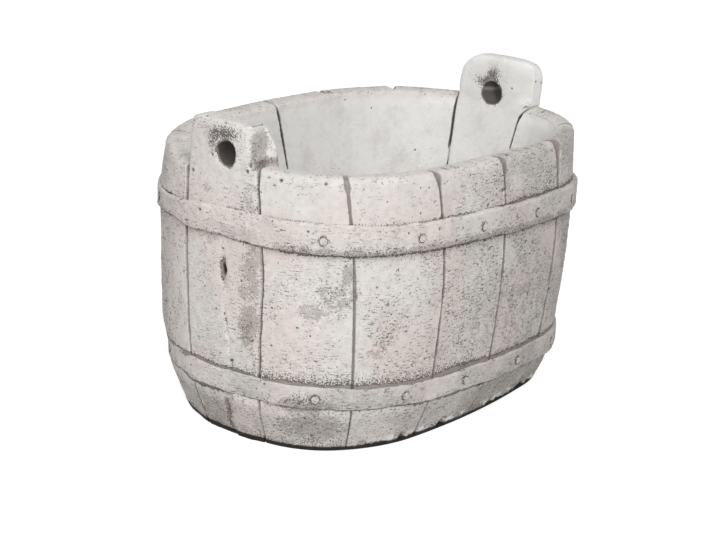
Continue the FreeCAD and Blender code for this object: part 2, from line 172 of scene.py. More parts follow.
# The joint after each piece: its width, and how far it leans along the oval at the foot, waist and rim.
JOINTS = {
    "left_ear_stave": (0.0033, -0.005, 0.0, -0.015),
    "front_stave_1": (0.0027, 0.009, 0.0, -0.014),
    "front_stave_2": (0.0032, 0.000, -0.0015, -0.015),
    "front_stave_3": (0.0034, -0.004, -0.002, -0.008),
    "front_stave_4": (0.0050, -0.012, 0.010, -0.008),
    "front_stave_5": (0.0040, 0.004, 0.000, -0.006),
    "front_stave_6": (0.0038, 0.000, 0.000, 0.001),
    "right_ear_stave": (0.0036, 0.004, 0.000, 0.002),
    "back_stave_6": (0.0040, -0.006, 0.000, 0.005),
    "back_stave_5": (0.0034, 0.005, 0.002, 0.004),
    "back_stave_4": (0.0042, -0.006, 0.000, 0.002),
    "back_stave_3": (0.0036, 0.007, -0.002, 0.006),
    "back_stave_2": (0.0034, -0.004, 0.001, -0.008),
    "back_stave_1": (0.0018, 0.010, 0.0, -0.009),
}
LEAN_WAIST = 0.170
LEAN_CURVE = 1.4
# On the inside only three joints were cut as full lines: how deep, and how far each leans for its drop.
INNER_CUTS = {"back_stave_4": (1.0, -0.23), "right_ear_stave": (1.0, 0.05), "front_stave_6": (1.0, 0.22)}
FAINT_CUT = (0.02, 0.0)
INNER_CUT_END = 0.105
CUT_FULL_DROP = 0.060
CUT_END_DROP = 0.130
# One joint on the front has a painted highlight along its lip.
PALE_LIP_JOINT = "front_stave_5"
# One joint on the front has partly filled up with pale silt: shares of its depth and of its dark stain left.
SILTED_JOINT = "front_stave_1"
SILTED_DEPTH = 0.60
SILTED_STAIN = 0.84
# The line at the far ear's left edge is filled up again for a stretch of its height.
FILLED_JOINT = "right_ear_stave"
FILLED_HEIGHTS = (0.204, 0.226)
FILLED_FADE = 0.003


def inner_cut(joint, height):
    """How much of a joint's full depth is cut on the inside at a height."""
    depth = INNER_CUTS.get(joint, FAINT_CUT)[0]
    share = depth * smooth_step(RIM_HEIGHT - CUT_END_DROP, RIM_HEIGHT - CUT_FULL_DROP, height)
    if joint == FILLED_JOINT:
        low, high = FILLED_HEIGHTS
        filled = smooth_step(low - FILLED_FADE, low, height) * smooth_step(high + FILLED_FADE, high, height)
        share = share * (1 - filled)
    return share


def joint_lean(name, height, outside):
    """How far the joint after a piece lies off its straight line, along the oval."""
    _, foot, waist, rim = JOINTS[name]
    rise = np.clip((height - LEAN_WAIST) / (RIM_HEIGHT - LEAN_WAIST), 0, 1) ** LEAN_CURVE
    drop = np.clip((LEAN_WAIST - height) / LEAN_WAIST, 0, 1)
    outer = waist + rim * rise + foot * drop
    cut_lean = INNER_CUTS.get(name, FAINT_CUT)[1]
    inner = waist + rim + cut_lean * np.clip(RIM_HEIGHT - height, 0, INNER_CUT_END)
    return outer * outside + inner * (1 - outside)


# Where the two hoops will lie: height of the centre line at the tub's middle, width, rise, tilt.
HOOPS = {
    "upper_hoop": (0.220, 0.0295, 0.0055, math.radians(2.2)),
    "lower_hoop": (0.058, 0.0235, 0.0040, math.radians(1.8)),
}
# The upper hoop was laid a little high along the far half of the front: lengths along the oval, and the lift.
LIFT_PLACES = (0.16, 0.30, 0.55, 0.66)
LIFTS = (0.0, 0.0038, 0.0038, 0.0)
# At the left back corner the wall is pressed in, the lower hoop sunk into it, and the upper one narrow.
LEFT_BACK_CORNER = 1.325
TUCK_DEPTH = 0.0045
SUNK_SHARE = 0.55
NARROW_PLACE = 1.345
NARROW_TOP = 0.006
NARROW_LOW = 0.004


def hoop_line(name, along, x):
    """Height of a hoop's centre line at a place round the tub."""
    middle, _, _, tilt = HOOPS[name]
    lift = np.interp(along % OVAL_LENGTH, LIFT_PLACES, LIFTS) if name == "upper_hoop" else 0.0
    return middle - x * math.tan(tilt) + lift


def tuck(along, height):
    """How far the wall is set back round its lower part at the left back corner."""
    return TUCK_DEPTH * around(along, LEFT_BACK_CORNER, 0.035, 0.075) * fading(height, 0.055, 0.100)


def hoop_proud(name, along):
    """How far a hoop stands out from the staves."""
    sunk = SUNK_SHARE * around(along, LEFT_BACK_CORNER, 0.030, 0.070) if name == "lower_hoop" else 0.0
    return HOOPS[name][2] * (1 - sunk)


def hoop_face(name, along):
    """Set-back of a hoop's face from the oval at a place round the tub."""
    middle = HOOPS[name][0]
    return float(bulge(middle)) + hoop_proud(name, along) - tuck(along, middle)


def hoop_edges(name, along):
    """How far a hoop's top and low edges lie off a straight band."""
    if name == "lower_hoop":
        return np.zeros_like(along), np.zeros_like(along)
    top = -NARROW_TOP * around(along, NARROW_PLACE, 0.020, 0.080)
    low = NARROW_LOW * around(along, 1.340, 0.020, 0.060)
    return top, low


def bulge(height):
    """Set-back of the wall's outer face from the oval at a height, as a negative length."""
    return np.sqrt(BULGE_RADIUS**2 - (np.asarray(height) - BULGE_HEIGHT) ** 2) - BULGE_RADIUS


def rounded_outline(corners):
    """Points round a closed outline. A corner is (across, up, radius, step): its radius rounds it, and the
    points on its round and on the run after it stand about one step apart."""
    rounds = []
    for index, (across, up, radius, step) in enumerate(corners):
        here = np.array([across, up])
        if radius == 0:
            rounds.append(here[None, :])
            continue
        before = np.array(corners[index - 1][:2]) - here
        after = np.array(corners[(index + 1) % len(corners)][:2]) - here
        before = before / np.linalg.norm(before)
        after = after / np.linalg.norm(after)
        half = math.acos(np.clip(before @ after, -1, 1)) / 2
        middle = here + (before + after) / np.linalg.norm(before + after) * radius / math.sin(half)
        first = here + before * radius / math.tan(half) - middle
        last = here + after * radius / math.tan(half) - middle
        sweep = math.pi - 2 * half
        share = np.linspace(0, 1, max(3, math.ceil(radius * sweep / step) + 1))[:, None]
        arc = first * np.sin((1 - share) * sweep) + last * np.sin(share * sweep)
        rounds.append(middle + arc / math.sin(sweep))
    points = []
    for index, (corner, here) in enumerate(zip(corners, rounds)):
        following = rounds[(index + 1) % len(rounds)][0]
        count = max(1, math.ceil(np.linalg.norm(following - here[-1]) / corner[3]))
        run = here[-1] + (following - here[-1]) * np.linspace(0, 1, count + 1)[1:-1, None]
        points.append(np.concatenate([here, run]))
    return np.concatenate(points)


def outline_normals(points):
    """Outward normals of a closed outline that runs up its outer side first."""
    along = np.roll(points, -1, axis=0) - np.roll(points, 1, axis=0)
    along = along / np.linalg.norm(along, axis=1)[:, None]
    return np.stack([along[:, 1], -along[:, 0]], axis=1)


FACE_STEP = 0.0015
RIM_STEP = 0.0012
INSIDE_STEP = 0.0030
OUTER_STEP = 0.010
outer_heights = np.arange(CHINE_HEIGHT + 0.014, RIM_HEIGHT - RIM_ROUND, OUTER_STEP)
wall_outline = rounded_outline(
    [
        (-FOOT_SET_BACK, 0, FOOT_ROUND, FACE_STEP),
        (float(bulge(CHINE_HEIGHT)), CHINE_HEIGHT, CHINE_ROUND, FACE_STEP),
    ]
    + [(float(bulge(height)), float(height), 0, FACE_STEP) for height in outer_heights]
    + [
        (float(bulge(RIM_HEIGHT)), RIM_HEIGHT, RIM_ROUND, RIM_STEP),
        (-INSIDE_TOP_SET_BACK, RIM_HEIGHT, RIM_INNER_ROUND, RIM_STEP),
        (-INSIDE_FLOOR_SET_BACK, FLOOR_THICKNESS, 0, INSIDE_STEP),
        (-INSIDE_FLOOR_SET_BACK, CROZE_TOP, 0, INSIDE_STEP),
        (-INSIDE_FLOOR_SET_BACK + CROZE_DEPTH, CROZE_TOP, 0, INSIDE_STEP),
        (-INSIDE_FLOOR_SET_BACK + CROZE_DEPTH, CROZE_FOOT, 0, INSIDE_STEP),
        (-INSIDE_FLOOR_SET_BACK, CROZE_FOOT, 0, INSIDE_STEP),
        (-INSIDE_FLOOR_SET_BACK, 0, 0, INSIDE_STEP),
    ]
)
wall_normals = outline_normals(wall_outline)
wall_height = wall_outline[:, 1]

# Which points of the outline lie on the outside, on the inside, along the rim's inner edge and out of sight.
MID_WALL_SET_BACK = 0.0177
MID_WALL_SLOPE = 0.079
INNER_EDGE_REACH = 0.010
mid_wall = -MID_WALL_SET_BACK - (RIM_HEIGHT - wall_height) * MID_WALL_SLOPE
wall_outside = smooth_step(-0.004, 0.004, wall_outline[:, 0] - mid_wall)
steps = np.linalg.norm(np.diff(wall_outline, axis=0), axis=1)
travelled = np.concatenate([[0.0], np.cumsum(steps)])
inner_corner = np.argmin(np.hypot(wall_outline[:, 0] + INSIDE_TOP_SET_BACK, wall_height - RIM_HEIGHT))
past_corner = travelled - travelled[inner_corner]
wall_inner_edge = np.exp(-((past_corner / INNER_EDGE_REACH) ** 2))
wall_inside = smooth_step(-0.004, 0.012, past_corner)
under_floor = (wall_outside < 0.5) & (wall_height < FLOOR_THICKNESS + 0.001)
wall_hidden = np.where(under_floor | (wall_height < 0.0003), 1.0, 0.0)

# Dirt and painted shade lie on the staves beside the hoops. They start a little behind a hoop's edge, where
# nobody sees it.
EDGE_LAP = 0.003
LINE_STAIN = 1.05
HAZE_STAIN = 0.38
LEDGE_STAIN = 0.60
CRACK_STAIN = 1.6
THIN_STAIN = 0.75


def edge_dirt(gap, full, end):
    """Dirt and painted shade along a hoop's edge: full up to one distance from the edge, and none from
    another on.
    """
    return np.where(gap > -EDGE_LAP, fading(gap, full, end), 0)


def hoop_gaps(name, along, x, height):
    """How far a place lies over a hoop's top edge, and under its low edge."""
    ragged = 0.0010 * wander(along, 0.006, 7) + 0.0008 * wander(along, 0.0021, 8)
    over = height - hoop_line(name, along, x)
    half = HOOPS[name][1] / 2
    top, low = hoop_edges(name, along)
    return over - half - top + ragged, low - over - half + ragged


def upper_hoop_dirt(along, x, height, thick):
    """Under the upper hoop a painted shadow line and a haze of dirt and shade; over it a thin dark line, a
    painted shade band at the far end, and black painted shade in the gap at the narrow place.
    """
    over, under = hoop_gaps("upper_hoop", along, x, height)
    clean_ear = 1 - 0.85 * around(along, 0.045, 0.016, 0.040)
    far_end = around(along, 0.49, 0.07, 0.12)
    narrow = 0.45
    line = edge_dirt(under, 0.0018 * thick * narrow, 0.0075 * thick * narrow) * clean_ear
    clean_front = 1 - 0.45 * around(along, 0.160, 0.050, 0.090)
    haze = edge_dirt(under, 0.001, 0.026 * thick) * clean_ear * clean_front
    ledge = far_end * edge_dirt(over, 0.002, 0.016)
    thin = edge_dirt(over, 0.0004 + 0.0018 * far_end, 0.0030 * thick + 0.0040 * far_end)
    thin = thin * (1 - 0.85 * around(along, 0.026, 0.018, 0.036))
    thin = thin * (1 - 0.35 * around(along, 0.180, 0.060, 0.100))
    # Black painted shade in the gap over the hoop at its narrow place.
    black = 1.3 * around(along, NARROW_PLACE, 0.010, 0.028)
    darkness = THIN_STAIN + black + 0.25 * far_end
    return np.maximum.reduce([LEDGE_STAIN * ledge, LINE_STAIN * line, HAZE_STAIN * haze, darkness * thin])


def lower_hoop_dirt(along, x, height, thick):
    """Over the lower hoop a painted shade line and a haze of dirt and shade; under it a thin dark line that
    is a painted shade crack along the far half.
    """
    over, under = hoop_gaps("lower_hoop", along, x, height)
    broad = 1.0 + 0.8 * around(along, 0.44, 0.10, 0.16)
    line = edge_dirt(over, 0.0018 * thick * broad, 0.0075 * thick * broad)
    haze = edge_dirt(over, 0.001, 0.026 * thick) * (1 + 0.75 * around(along, 0.22, 0.10, 0.16))
    # The dark crack under the far half of the hoop is painted shade.
    crack = edge_dirt(under, 0.0030, 0.0042) * around(along, 0.45, 0.15, 0.20)
    crack = crack * (0.8 + 0.4 * wander(along, 0.012, 10))
    ear_corner = around(along, 0.020, 0.020, 0.045)
    thin = edge_dirt(under, 0.0004 + 0.0018 * ear_corner, 0.0030 * thick + 0.0040 * ear_corner)
    thin = thin * (1 - 0.9 * around(along, 0.085, 0.014, 0.030))
    thin = thin * (1 - 0.6 * around(along, 0.190, 0.040, 0.070))
    darkness = THIN_STAIN + 0.25 * ear_corner
    return np.maximum.reduce([CRACK_STAIN * crack, LINE_STAIN * line, HAZE_STAIN * haze, darkness * thin])


def hoop_dirt(along, x, height):
    """Grey dirt and painted shade on the staves just over and just under the two hoops."""
    thick = 0.85 + 0.25 * wander(along, 0.050, 9)
    return np.maximum(upper_hoop_dirt(along, x, height, thick), lower_hoop_dirt(along, x, height, thick))


# The most worn spots: place along the oval, height, half length, half height, and how worn.
WORN_SPOTS = (
    (0.085, 0.131, 0.012, 0.022, 1.0), (0.086, 0.182, 0.012, 0.030, 0.85),
    (0.184, 0.194, 0.005, 0.011, 1.0), (0.174, 0.172, 0.018, 0.012, 0.80),
    (0.154, 0.155, 0.017, 0.011, 0.62), (0.160, 0.030, 0.036, 0.016, 1.1),
    (0.026, 0.028, 0.024, 0.018, 0.85), (0.150, 0.056, 0.026, 0.010, 1.0),
    (0.224, 0.116, 0.012, 0.013, 0.55), (0.243, 0.142, 0.010, 0.013, 0.50),
    (0.352, 0.125, 0.040, 0.045, 0.45), (0.440, 0.125, 0.050, 0.060, 0.50),
    (0.079, 0.262, 0.010, 0.013, 0.55), (0.024, 0.258, 0.010, 0.010, 0.45),
    (0.084, 0.249, 0.011, 0.004, 0.6), (0.380, 0.262, 0.030, 0.016, 0.40),
    (0.470, 0.258, 0.040, 0.018, 0.45), (0.300, 0.100, 0.030, 0.012, 0.40),
    (1.330, 0.130, 0.030, 0.060, 0.40), (1.345, 0.262, 0.020, 0.016, 0.30),
    (0.800, 0.150, 0.060, 0.050, 0.50), (0.930, 0.110, 0.050, 0.040, 0.55),
    (1.040, 0.170, 0.050, 0.040, 0.45), (1.150, 0.120, 0.045, 0.050, 0.55),
    (1.240, 0.180, 0.040, 0.040, 0.45), (0.560, 0.150, 0.050, 0.060, 0.45),
    (0.650, 0.120, 0.050, 0.050, 0.50),
)
# How grey the skin is round the tub: the far and the back staves have weathered more than the near ones.
GREY_PLACES = (0.0, 0.06, 0.19, 0.28, 0.34, 0.42, 0.60, 0.70, 0.85, 1.10, 1.28, 1.33, OVAL_LENGTH)
GREY_SHARES = (0.06, 0.02, 0.05, 0.10, 0.20, 0.46, 0.60, 0.30, 0.30, 0.28, 0.30, 0.42, 0.06)


def greyed(along, height):
    """How grey the skin is at a place on the unrolled wall: the foot is greyer than the wall above it."""
    corner = around(along, 0.0, 0.030, 0.055)
    far = smooth_step(0.30, 0.40, along) * fading(along, 0.60, 0.70)
    foot = (0.26 + 0.34 * corner + 0.16 * far) * fading(height, 0.034, 0.050)
    rim = smooth_step(0.235, 0.250, height)
    near_rim = 0.08 * rim * around(along, 0.145, 0.030, 0.060)
    third_rim = 0.12 * rim * around(along, 0.345, 0.040, 0.060)
    return np.interp(along % OVAL_LENGTH, GREY_PLACES, GREY_SHARES) + foot + near_rim - third_rim


# How grainy the skin is round the tub. Only the rim of the two nearest front staves has stayed smooth.
GRAIN_PLACES = (0.0, 0.10, 0.28, 0.34, 0.55, 0.70, 1.28, OVAL_LENGTH)
GRAIN_SHARES = (0.50, 1.10, 1.25, 2.20, 1.80, 1.20, 1.10, 0.50)


def graininess(along, height):
    """How grainy the skin is at a place on the unrolled wall. 1 is plainly grainy."""
    smooth_rim = smooth_step(0.205, 0.245, height) * around(along, 0.195, 0.090, 0.120)
    crumbs = 1.2 * fading(height, 0.010, 0.016) * smooth_step(0.20, 0.30, along)
    rubbed_edge = 1 - 0.45 * smooth_step(0.240, 0.280, height)
    shares = np.interp(along % OVAL_LENGTH, GRAIN_PLACES, GRAIN_SHARES)
    first_front = around(along, 0.140, 0.045, 0.065)
    calmer = 0.50 * first_front * smooth_step(0.165, 0.190, height)
    busier = 0.60 * first_front * fading(height, 0.105, 0.130) * smooth_step(0.060, 0.075, height)
    return shares * (1 - 0.85 * smooth_rim) * (1 - calmer) * rubbed_edge + crumbs + busier


def worn(along, height):
    """How worn the skin is at a place on the unrolled wall. 1 is worn through to the grey stone."""
    along = np.asarray(along) % OVAL_LENGTH
    total = np.zeros(np.broadcast(along, height).shape)
    for place, middle, half_length, half_height, share in WORN_SPOTS:
        off = ((along - place) / half_length) ** 2 + ((height - middle) / half_height) ** 2
        total = np.maximum(total, share * np.exp(-0.5 * off**1.5))
    return total


def set_values(mesh, **values):
    """Store one number for each vertex under each name."""
    for name, numbers in values.items():
        layer = mesh.attributes.new(name, "FLOAT", "POINT")
        layer.data.foreach_set("value", np.ascontiguousarray(numbers, dtype=np.float32).ravel())


def set_wall_place(mesh, along, height):
    """Store where each vertex lies on the unrolled wall, so that brush marks can run round the tub."""
    layer = mesh.attributes.new("wall_place", "FLOAT_VECTOR", "POINT")
    along, height = np.broadcast_arrays(along, height)
    spots = np.stack([along.ravel(), height.ravel(), np.zeros(along.size)], axis=1)
    layer.data.foreach_set("vector", np.ascontiguousarray(spots, dtype=np.float32).ravel())


CHIP_STAIN = 150
INNER_STAIN = 0.30
FOOT_FILL = 0.0045
SWELL = 0.0034
RIM_DROP = 0.0130
RIM_WEAR = 0.0012
FAR_RIM_WEAR = 0.0045


def foot_dirt(along, height):
    """Soil stain on the foot of the wall, a black painted contact shadow where it stands on the ground, and
    painted shade in its chips.
    """
    stain = 0.30 * fading(height, 0.036, 0.050) + 0.35 * fading(height, 0.0, 0.020)
    ragged = 0.0006 * wander(along, 0.006, 63) + 0.0004 * wander(along, 0.002, 64)
    # A black painted contact shadow along the ground line.
    damp = 2.2 * fading(height + ragged, 0.0056, 0.0068)
    # Painted shade in the chips of the foot.
    chips = CHIP_STAIN * foot_chips(along, height)
    return np.maximum.reduce([stain * (1 - foot_crumbs(along, height)), damp, chips])


def inner_stain(along, height):
    """Faint soil stain low on the inside, in drifts."""
    drift = smooth_step(-0.5, 0.6, wander(along + 0.5 * height, 0.020, 67))
    return INNER_STAIN * (0.4 + 0.6 * drift) * fading(height, 0.190, 0.235)


def foot_chips(along, height):
    """How deep the foot's edge is chipped."""
    chipped = wander(along, 0.011, 61) + 0.6 * wander(along, 0.004, 62)
    often = 0.10 + 0.90 * smooth_step(0.20, 0.30, along) * fading(along, 0.50, 0.57)
    reach = 0.009 + 0.008 * np.clip(chipped, 0, 1)
    band = smooth_step(0.002, 0.005, height) * fading(height / reach, 0.5, 1.0)
    return CHIP_DEPTH * often * smooth_step(0.05, 0.75, chipped) * band


def foot_crumbs(along, height):
    """Where pale crumbs of fresh concrete show along the chipped stretch of the foot, from 0 to 1."""
    strip = smooth_step(0.006, 0.008, height) * fading(height, 0.011, 0.016)
    broken = wander(along, 0.006, 65) + wander(height + 0.4 * along, 0.0035, 66)
    stretch = smooth_step(0.18, 0.26, along) * fading(along, 0.54, 0.60)
    return strip * stretch * smooth_step(-0.1, 0.5, broken)


def foot_fill(along, height):
    """How far the tapered foot stands out further than elsewhere, at the far end of the front."""
    return FOOT_FILL * around(along, 0.605, 0.045, 0.110) * fading(height, 0.018, 0.050)


def swell(along, height):
    """How far the wall of the left back corner stands out above the upper hoop."""
    level = smooth_step(0.175, 0.240, height) * (1 - 0.6 * smooth_step(0.250, RIM_HEIGHT, height))
    return SWELL * level * around(along, 1.320, 0.012, 0.052)


def rim_drop(along):
    """How far the rim lies lower than elsewhere, most where it meets the near ear's back edge."""
    return RIM_DROP * around(along, OVAL_LENGTH, 0.015, 0.080) * (along > OVAL_LENGTH / 2)


def rim_wear(along):
    """How deep the rim's inner edge is worn round, most at the far end."""
    return RIM_WEAR + FAR_RIM_WEAR * around(along, 0.640, 0.12, 0.24)


def groove_share(height):
    """How wide a groove is at a height, as a share of its width at the rim."""
    return 0.84 - 0.34 * smooth_step(0.062, 0.034, height) + 0.16 * smooth_step(0.225, 0.245, height)


def groove_form(joint):
    """Depth and half width of the groove along a joint, for each row of the wall's outline."""
    seed = 40 + 5 * list(RING).index(joint)
    outer_depth = GROOVE_DEPTH * smooth_step(0.002, 0.014, wall_height)
    depth = np.where(wall_outside > 0.5, outer_depth, GROOVE_INNER_DEPTH * inner_cut(joint, wall_height))
    looped = np.concatenate([depth[-GROOVE_BLUR:], depth, depth[:GROOVE_BLUR]])
    span = 2 * GROOVE_BLUR + 1
    depth = np.convolve(looped, np.ones(span) / span, "valid") * (1 - wall_hidden)
    if joint == SILTED_JOINT:
        depth = depth * SILTED_DEPTH
    ragged = 1 + 0.26 * wander(wall_height, 0.011, seed) + 0.16 * wander(wall_height, 0.003, seed + 1)
    flare = 1 + NOTCH_FLARE * np.exp(-(((wall_height - RIM_HEIGHT + 0.005) / 0.007) ** 2)) * wall_outside
    narrow = GROOVE_INNER_SHARE + (1 - GROOVE_INNER_SHARE) * wall_outside
    half = JOINTS[joint][0] / 2 * narrow * ragged * flare * groove_share(wall_height)
    return depth, half


def grid_quads(rows, columns, closed):
    """Faces of an outline of some rows, swept over some columns. A closed sweep ends where it starts."""
    row = np.arange(rows)[:, None]
    column = np.arange(columns if closed else columns - 1)[None, :]
    above = (row + 1) % rows
    beside = (column + 1) % columns
    corners = [(row, column), (row, beside), (above, beside), (above, column)]
    return np.stack([up * columns + across for up, across in corners], axis=2).reshape(-1, 4)


# How far the first columns of a stave's mesh lie from its joint.
JOINT_COLUMNS = (0, 0.0005, 0.0010, 0.0015, 0.0020, 0.0026, 0.0032, 0.0040, 0.0050, 0.0062)


def stave_mesh(name):
    """A closed block: the wall's outline swept along the oval from joint to joint, and pushed in at both."""
    length = LENGTHS[name]
    edge = np.array(JOINT_COLUMNS)
    count = round((length - 2 * edge[-1]) / FACE_STEP)
    between = np.linspace(edge[-1], length - edge[-1], count + 1)[1:-1]
    places = np.concatenate([edge, between, (length - edge)[::-1]])[None, :]
    rows, columns = len(wall_outline), places.size
    height = wall_height[:, None]
    outside = wall_outside[:, None]

    inset = np.zeros((rows, columns))
    groove = np.zeros((rows, columns))
    free = np.ones((rows, columns))
    pale_lip = np.zeros((rows, columns))
    for gap, joint in ((places, BEFORE[name]), (length - places, name)):
        depth, half = (part[:, None] for part in groove_form(joint))
        pushed = fading(gap, 0.45 * half, 1.40 * half)
        lip = np.exp(-(((gap - 2.3 * half) / (0.7 * half)) ** 2))
        uneven = 0.6 + 0.4 * wander(height, 0.017, 3 + list(RING).index(joint))
        inset += depth * pushed - LIP_HEIGHT * lip * uneven * outside * smooth_step(0.002, 0.012, height)
        # The lip along this joint gets a painted highlight.
        if joint == PALE_LIP_JOINT:
            pale_lip = np.maximum(pale_lip, lip * uneven)
        shown = smooth_step(0.0002, 0.0012, depth) * (SILTED_STAIN if joint == SILTED_JOINT else 1.0)
        groove = np.maximum(groove, fading(gap, 0.90 * half, 1.60 * half) * shown)
        free *= smooth_step(0.0004, 0.0030, gap)

    share = np.clip((places - edge[-1]) / (length - 2 * edge[-1]), 0, 1)
    first = joint_lean(BEFORE[name], wall_height, wall_outside)[:, None]
    last = joint_lean(name, wall_height, wall_outside)[:, None]
    along = STARTS[name] + places + first * (1 - share) + last * share
    inset += foot_chips(along, height) * outside
    inset += rim_wear(along) * wall_inner_edge[:, None]
    fuller = (swell(along, height) + foot_fill(along, height) - tuck(along, height)) * outside
    set_back = wall_outline[:, :1] - wall_normals[:, :1] * inset + fuller
    up = height - wall_normals[:, 1:] * inset - rim_drop(along) * smooth_step(0.240, RIM_HEIGHT, height)
    x, y = on_oval(along, set_back)
    vertices = np.stack([x, y, up], axis=2).reshape(-1, 3)

    quads = grid_quads(rows, columns, closed=False)
    first_end = [index * columns for index in range(rows)]
    last_end = [index * columns + columns - 1 for index in reversed(range(rows))]

    mesh = bpy.data.meshes.new(name)
    mesh.from_pydata(vertices.tolist(), [], quads.tolist() + [first_end, last_end])
    mesh.shade_smooth()
    mesh.polygons[len(quads)].use_smooth = False
    mesh.polygons[len(quads) + 1].use_smooth = False

    shown = 1 - wall_hidden[:, None]
    rim = smooth_step(0.240, 0.275, up) * outside
    # Dirt and painted shade beside the hoops and at the foot.
    outer_dirt = np.maximum(hoop_dirt(along, x, up), foot_dirt(along, up))
    set_values(
        mesh,
        skin=free * (0.35 + 0.65 * outside) * shown * smooth_step(0.0, 0.006, up),
        groove=groove * shown,
        dirt=outer_dirt * outside + inner_stain(along, up) * (1 - outside),
        pitting=outside * (0.22 + 0.78 * rim),
        # The lip highlight is painted in the clean inside colour.
        inside=np.maximum(wall_inside[:, None], np.maximum(foot_crumbs(along, up), pale_lip) * outside),
        worn=worn(along, up) * outside,
        grey=greyed(along, up) * outside,
        grain=graininess(along, up),
    )
    set_wall_place(mesh, along, up)
    return mesh


def new_tree(name, kind, inputs, outputs):
    """An empty node group. Inputs and outputs say by name what each of its sockets carries."""
    tree = bpy.data.node_groups.new(name, kind)
    for side, sockets in (("INPUT", inputs), ("OUTPUT", outputs)):
        for socket, content in sockets.items():
            tree.interface.new_socket(socket, in_out=side, socket_type="NodeSocket" + content)
    return tree


def add_node(tree, kind, inputs=None, **settings):
    """Add a node, give it its settings, and join or set its inputs by name or number."""
    node = tree.nodes.new(kind)
    for name, setting in settings.items():
        setattr(node, name, setting)
    for name, source in (inputs or {}).items():
        if isinstance(source, bpy.types.NodeSocket):
            tree.links.new(source, node.inputs[name])
        else:
            node.inputs[name].default_value = source
    return node


def compute(tree, operation, first, second=0.0):
    """One arithmetic step with two values."""
    return add_node(tree, "ShaderNodeMath", {0: first, 1: second}, operation=operation).outputs[0]


def ramp(tree, amount, low, high, start=0.0, end=1.0):
    """A smooth step from start to end while the amount goes from low to high."""
    inputs = {"Value": amount, "From Min": low, "From Max": high, "To Min": start, "To Max": end}
    return add_node(tree, "ShaderNodeMapRange", inputs, interpolation_type="SMOOTHSTEP").outputs[0]


def cloud(tree, place, size, detail=2.0, roughness=0.5):
    """Random values from about 0.2 to 0.8, in lumps of about one size."""
    inputs = {"Vector": place, "Scale": 1.0 / size, "Detail": detail, "Roughness": roughness}
    return add_node(tree, "ShaderNodeTexNoise", inputs).outputs[0]


def hand_out(tree, geometry, material):
    """End a tree of geometry nodes: make its instances real, and dress all of it in a material."""
    real = add_node(tree, "GeometryNodeRealizeInstances", {"Geometry": geometry}).outputs[0]
    dressed = add_node(tree, "GeometryNodeSetMaterial", {"Geometry": real, "Material": material}).outputs[0]
    tree.links.new(dressed, add_node(tree, "NodeGroupOutput").inputs[0])


WAVE_SIZE = 0.085
LUMP_SIZE = 0.020
GRAIN_SIZE = 0.0045
ROUGH_PATCH_SIZE = 0.055
HOLE_SPACING = 0.012


def cast_skin():
    """Nodes that move a smooth block's surface in and out as a cast and weathered one lies."""
    sizes = ("Wave height", "Lump height", "Grain height", "Hole depth", "Hole size", "Hole share", "Shift")
    inputs = {"Geometry": "Geometry", **dict.fromkeys(sizes, "Float"), "Material": "Material"}
    tree = new_tree("cast_skin", "GeometryNodeTree", inputs, {"Geometry": "Geometry"})
    given = add_node(tree, "NodeGroupInput").outputs
    place = add_node(tree, "GeometryNodeInputPosition").outputs[0]
    shift = add_node(tree, "ShaderNodeCombineXYZ", {axis: given["Shift"] for axis in range(3)}).outputs[0]
    shifted = add_node(tree, "ShaderNodeVectorMath", {0: place, 1: shift}, operation="ADD").outputs[0]

    def stored(name):
        """A value that the mesh carries for each vertex."""
        return add_node(tree, "GeometryNodeInputNamedAttribute", {"Name": name}, data_type="FLOAT").outputs[0]

    def raised(size, detail, height):
        """Lumps of one size, up to about a height either way."""
        lump = compute(tree, "SUBTRACT", cloud(tree, shifted, size, detail), 0.5)
        return compute(tree, "MULTIPLY", compute(tree, "MULTIPLY", lump, 2.0), height)

    rough = ramp(tree, cloud(tree, shifted, ROUGH_PATCH_SIZE), 0.44, 0.62)
    rough = compute(tree, "ADD", rough, compute(tree, "ADD", stored("worn"), stored("grey")))
    waves = raised(WAVE_SIZE, 1.0, given["Wave height"])
    lumps = raised(LUMP_SIZE, 2.0, given["Lump height"])
    grain = compute(tree, "MULTIPLY", raised(GRAIN_SIZE, 3.0, given["Grain height"]), rough)
    cells = add_node(tree, "ShaderNodeTexVoronoi", {"Vector": shifted, "Scale": 1.0 / HOLE_SPACING})
    chance = add_node(tree, "FunctionNodeSeparateColor", {"Color": cells.outputs["Color"]})
    gap = compute(tree, "MULTIPLY", cells.outputs["Distance"], HOLE_SPACING)
    size = compute(tree, "MULTIPLY", given["Hole size"], compute(tree, "ADD", chance.outputs[1], 0.45))
    hole = ramp(tree, compute(tree, "DIVIDE", gap, size), 0.55, 1.0, 1.0, 0.0)
    share = compute(tree, "MULTIPLY", given["Hole share"], stored("pitting"))
    hole = compute(tree, "MULTIPLY", hole, compute(tree, "LESS_THAN", chance.outputs[0], share))
    pits = compute(tree, "MULTIPLY", hole, given["Hole depth"])
    total = compute(tree, "ADD", compute(tree, "ADD", waves, lumps), compute(tree, "SUBTRACT", grain, pits))
    total = compute(tree, "MULTIPLY", total, stored("skin"))
    normal = add_node(tree, "GeometryNodeInputNormal").outputs[0]
    offset = add_node(tree, "ShaderNodeVectorMath", {0: normal, "Scale": total}, operation="SCALE").outputs[0]
    kept = {"Geometry": given["Geometry"], "Name": "hole", "Value": hole}
    marked = add_node(tree, "GeometryNodeStoreNamedAttribute", kept, data_type="FLOAT", domain="POINT")
    moved = add_node(tree, "GeometryNodeSetPosition", {"Geometry": marked.outputs[0], "Offset": offset})
    hand_out(tree, moved.outputs[0], given["Material"])
    return tree


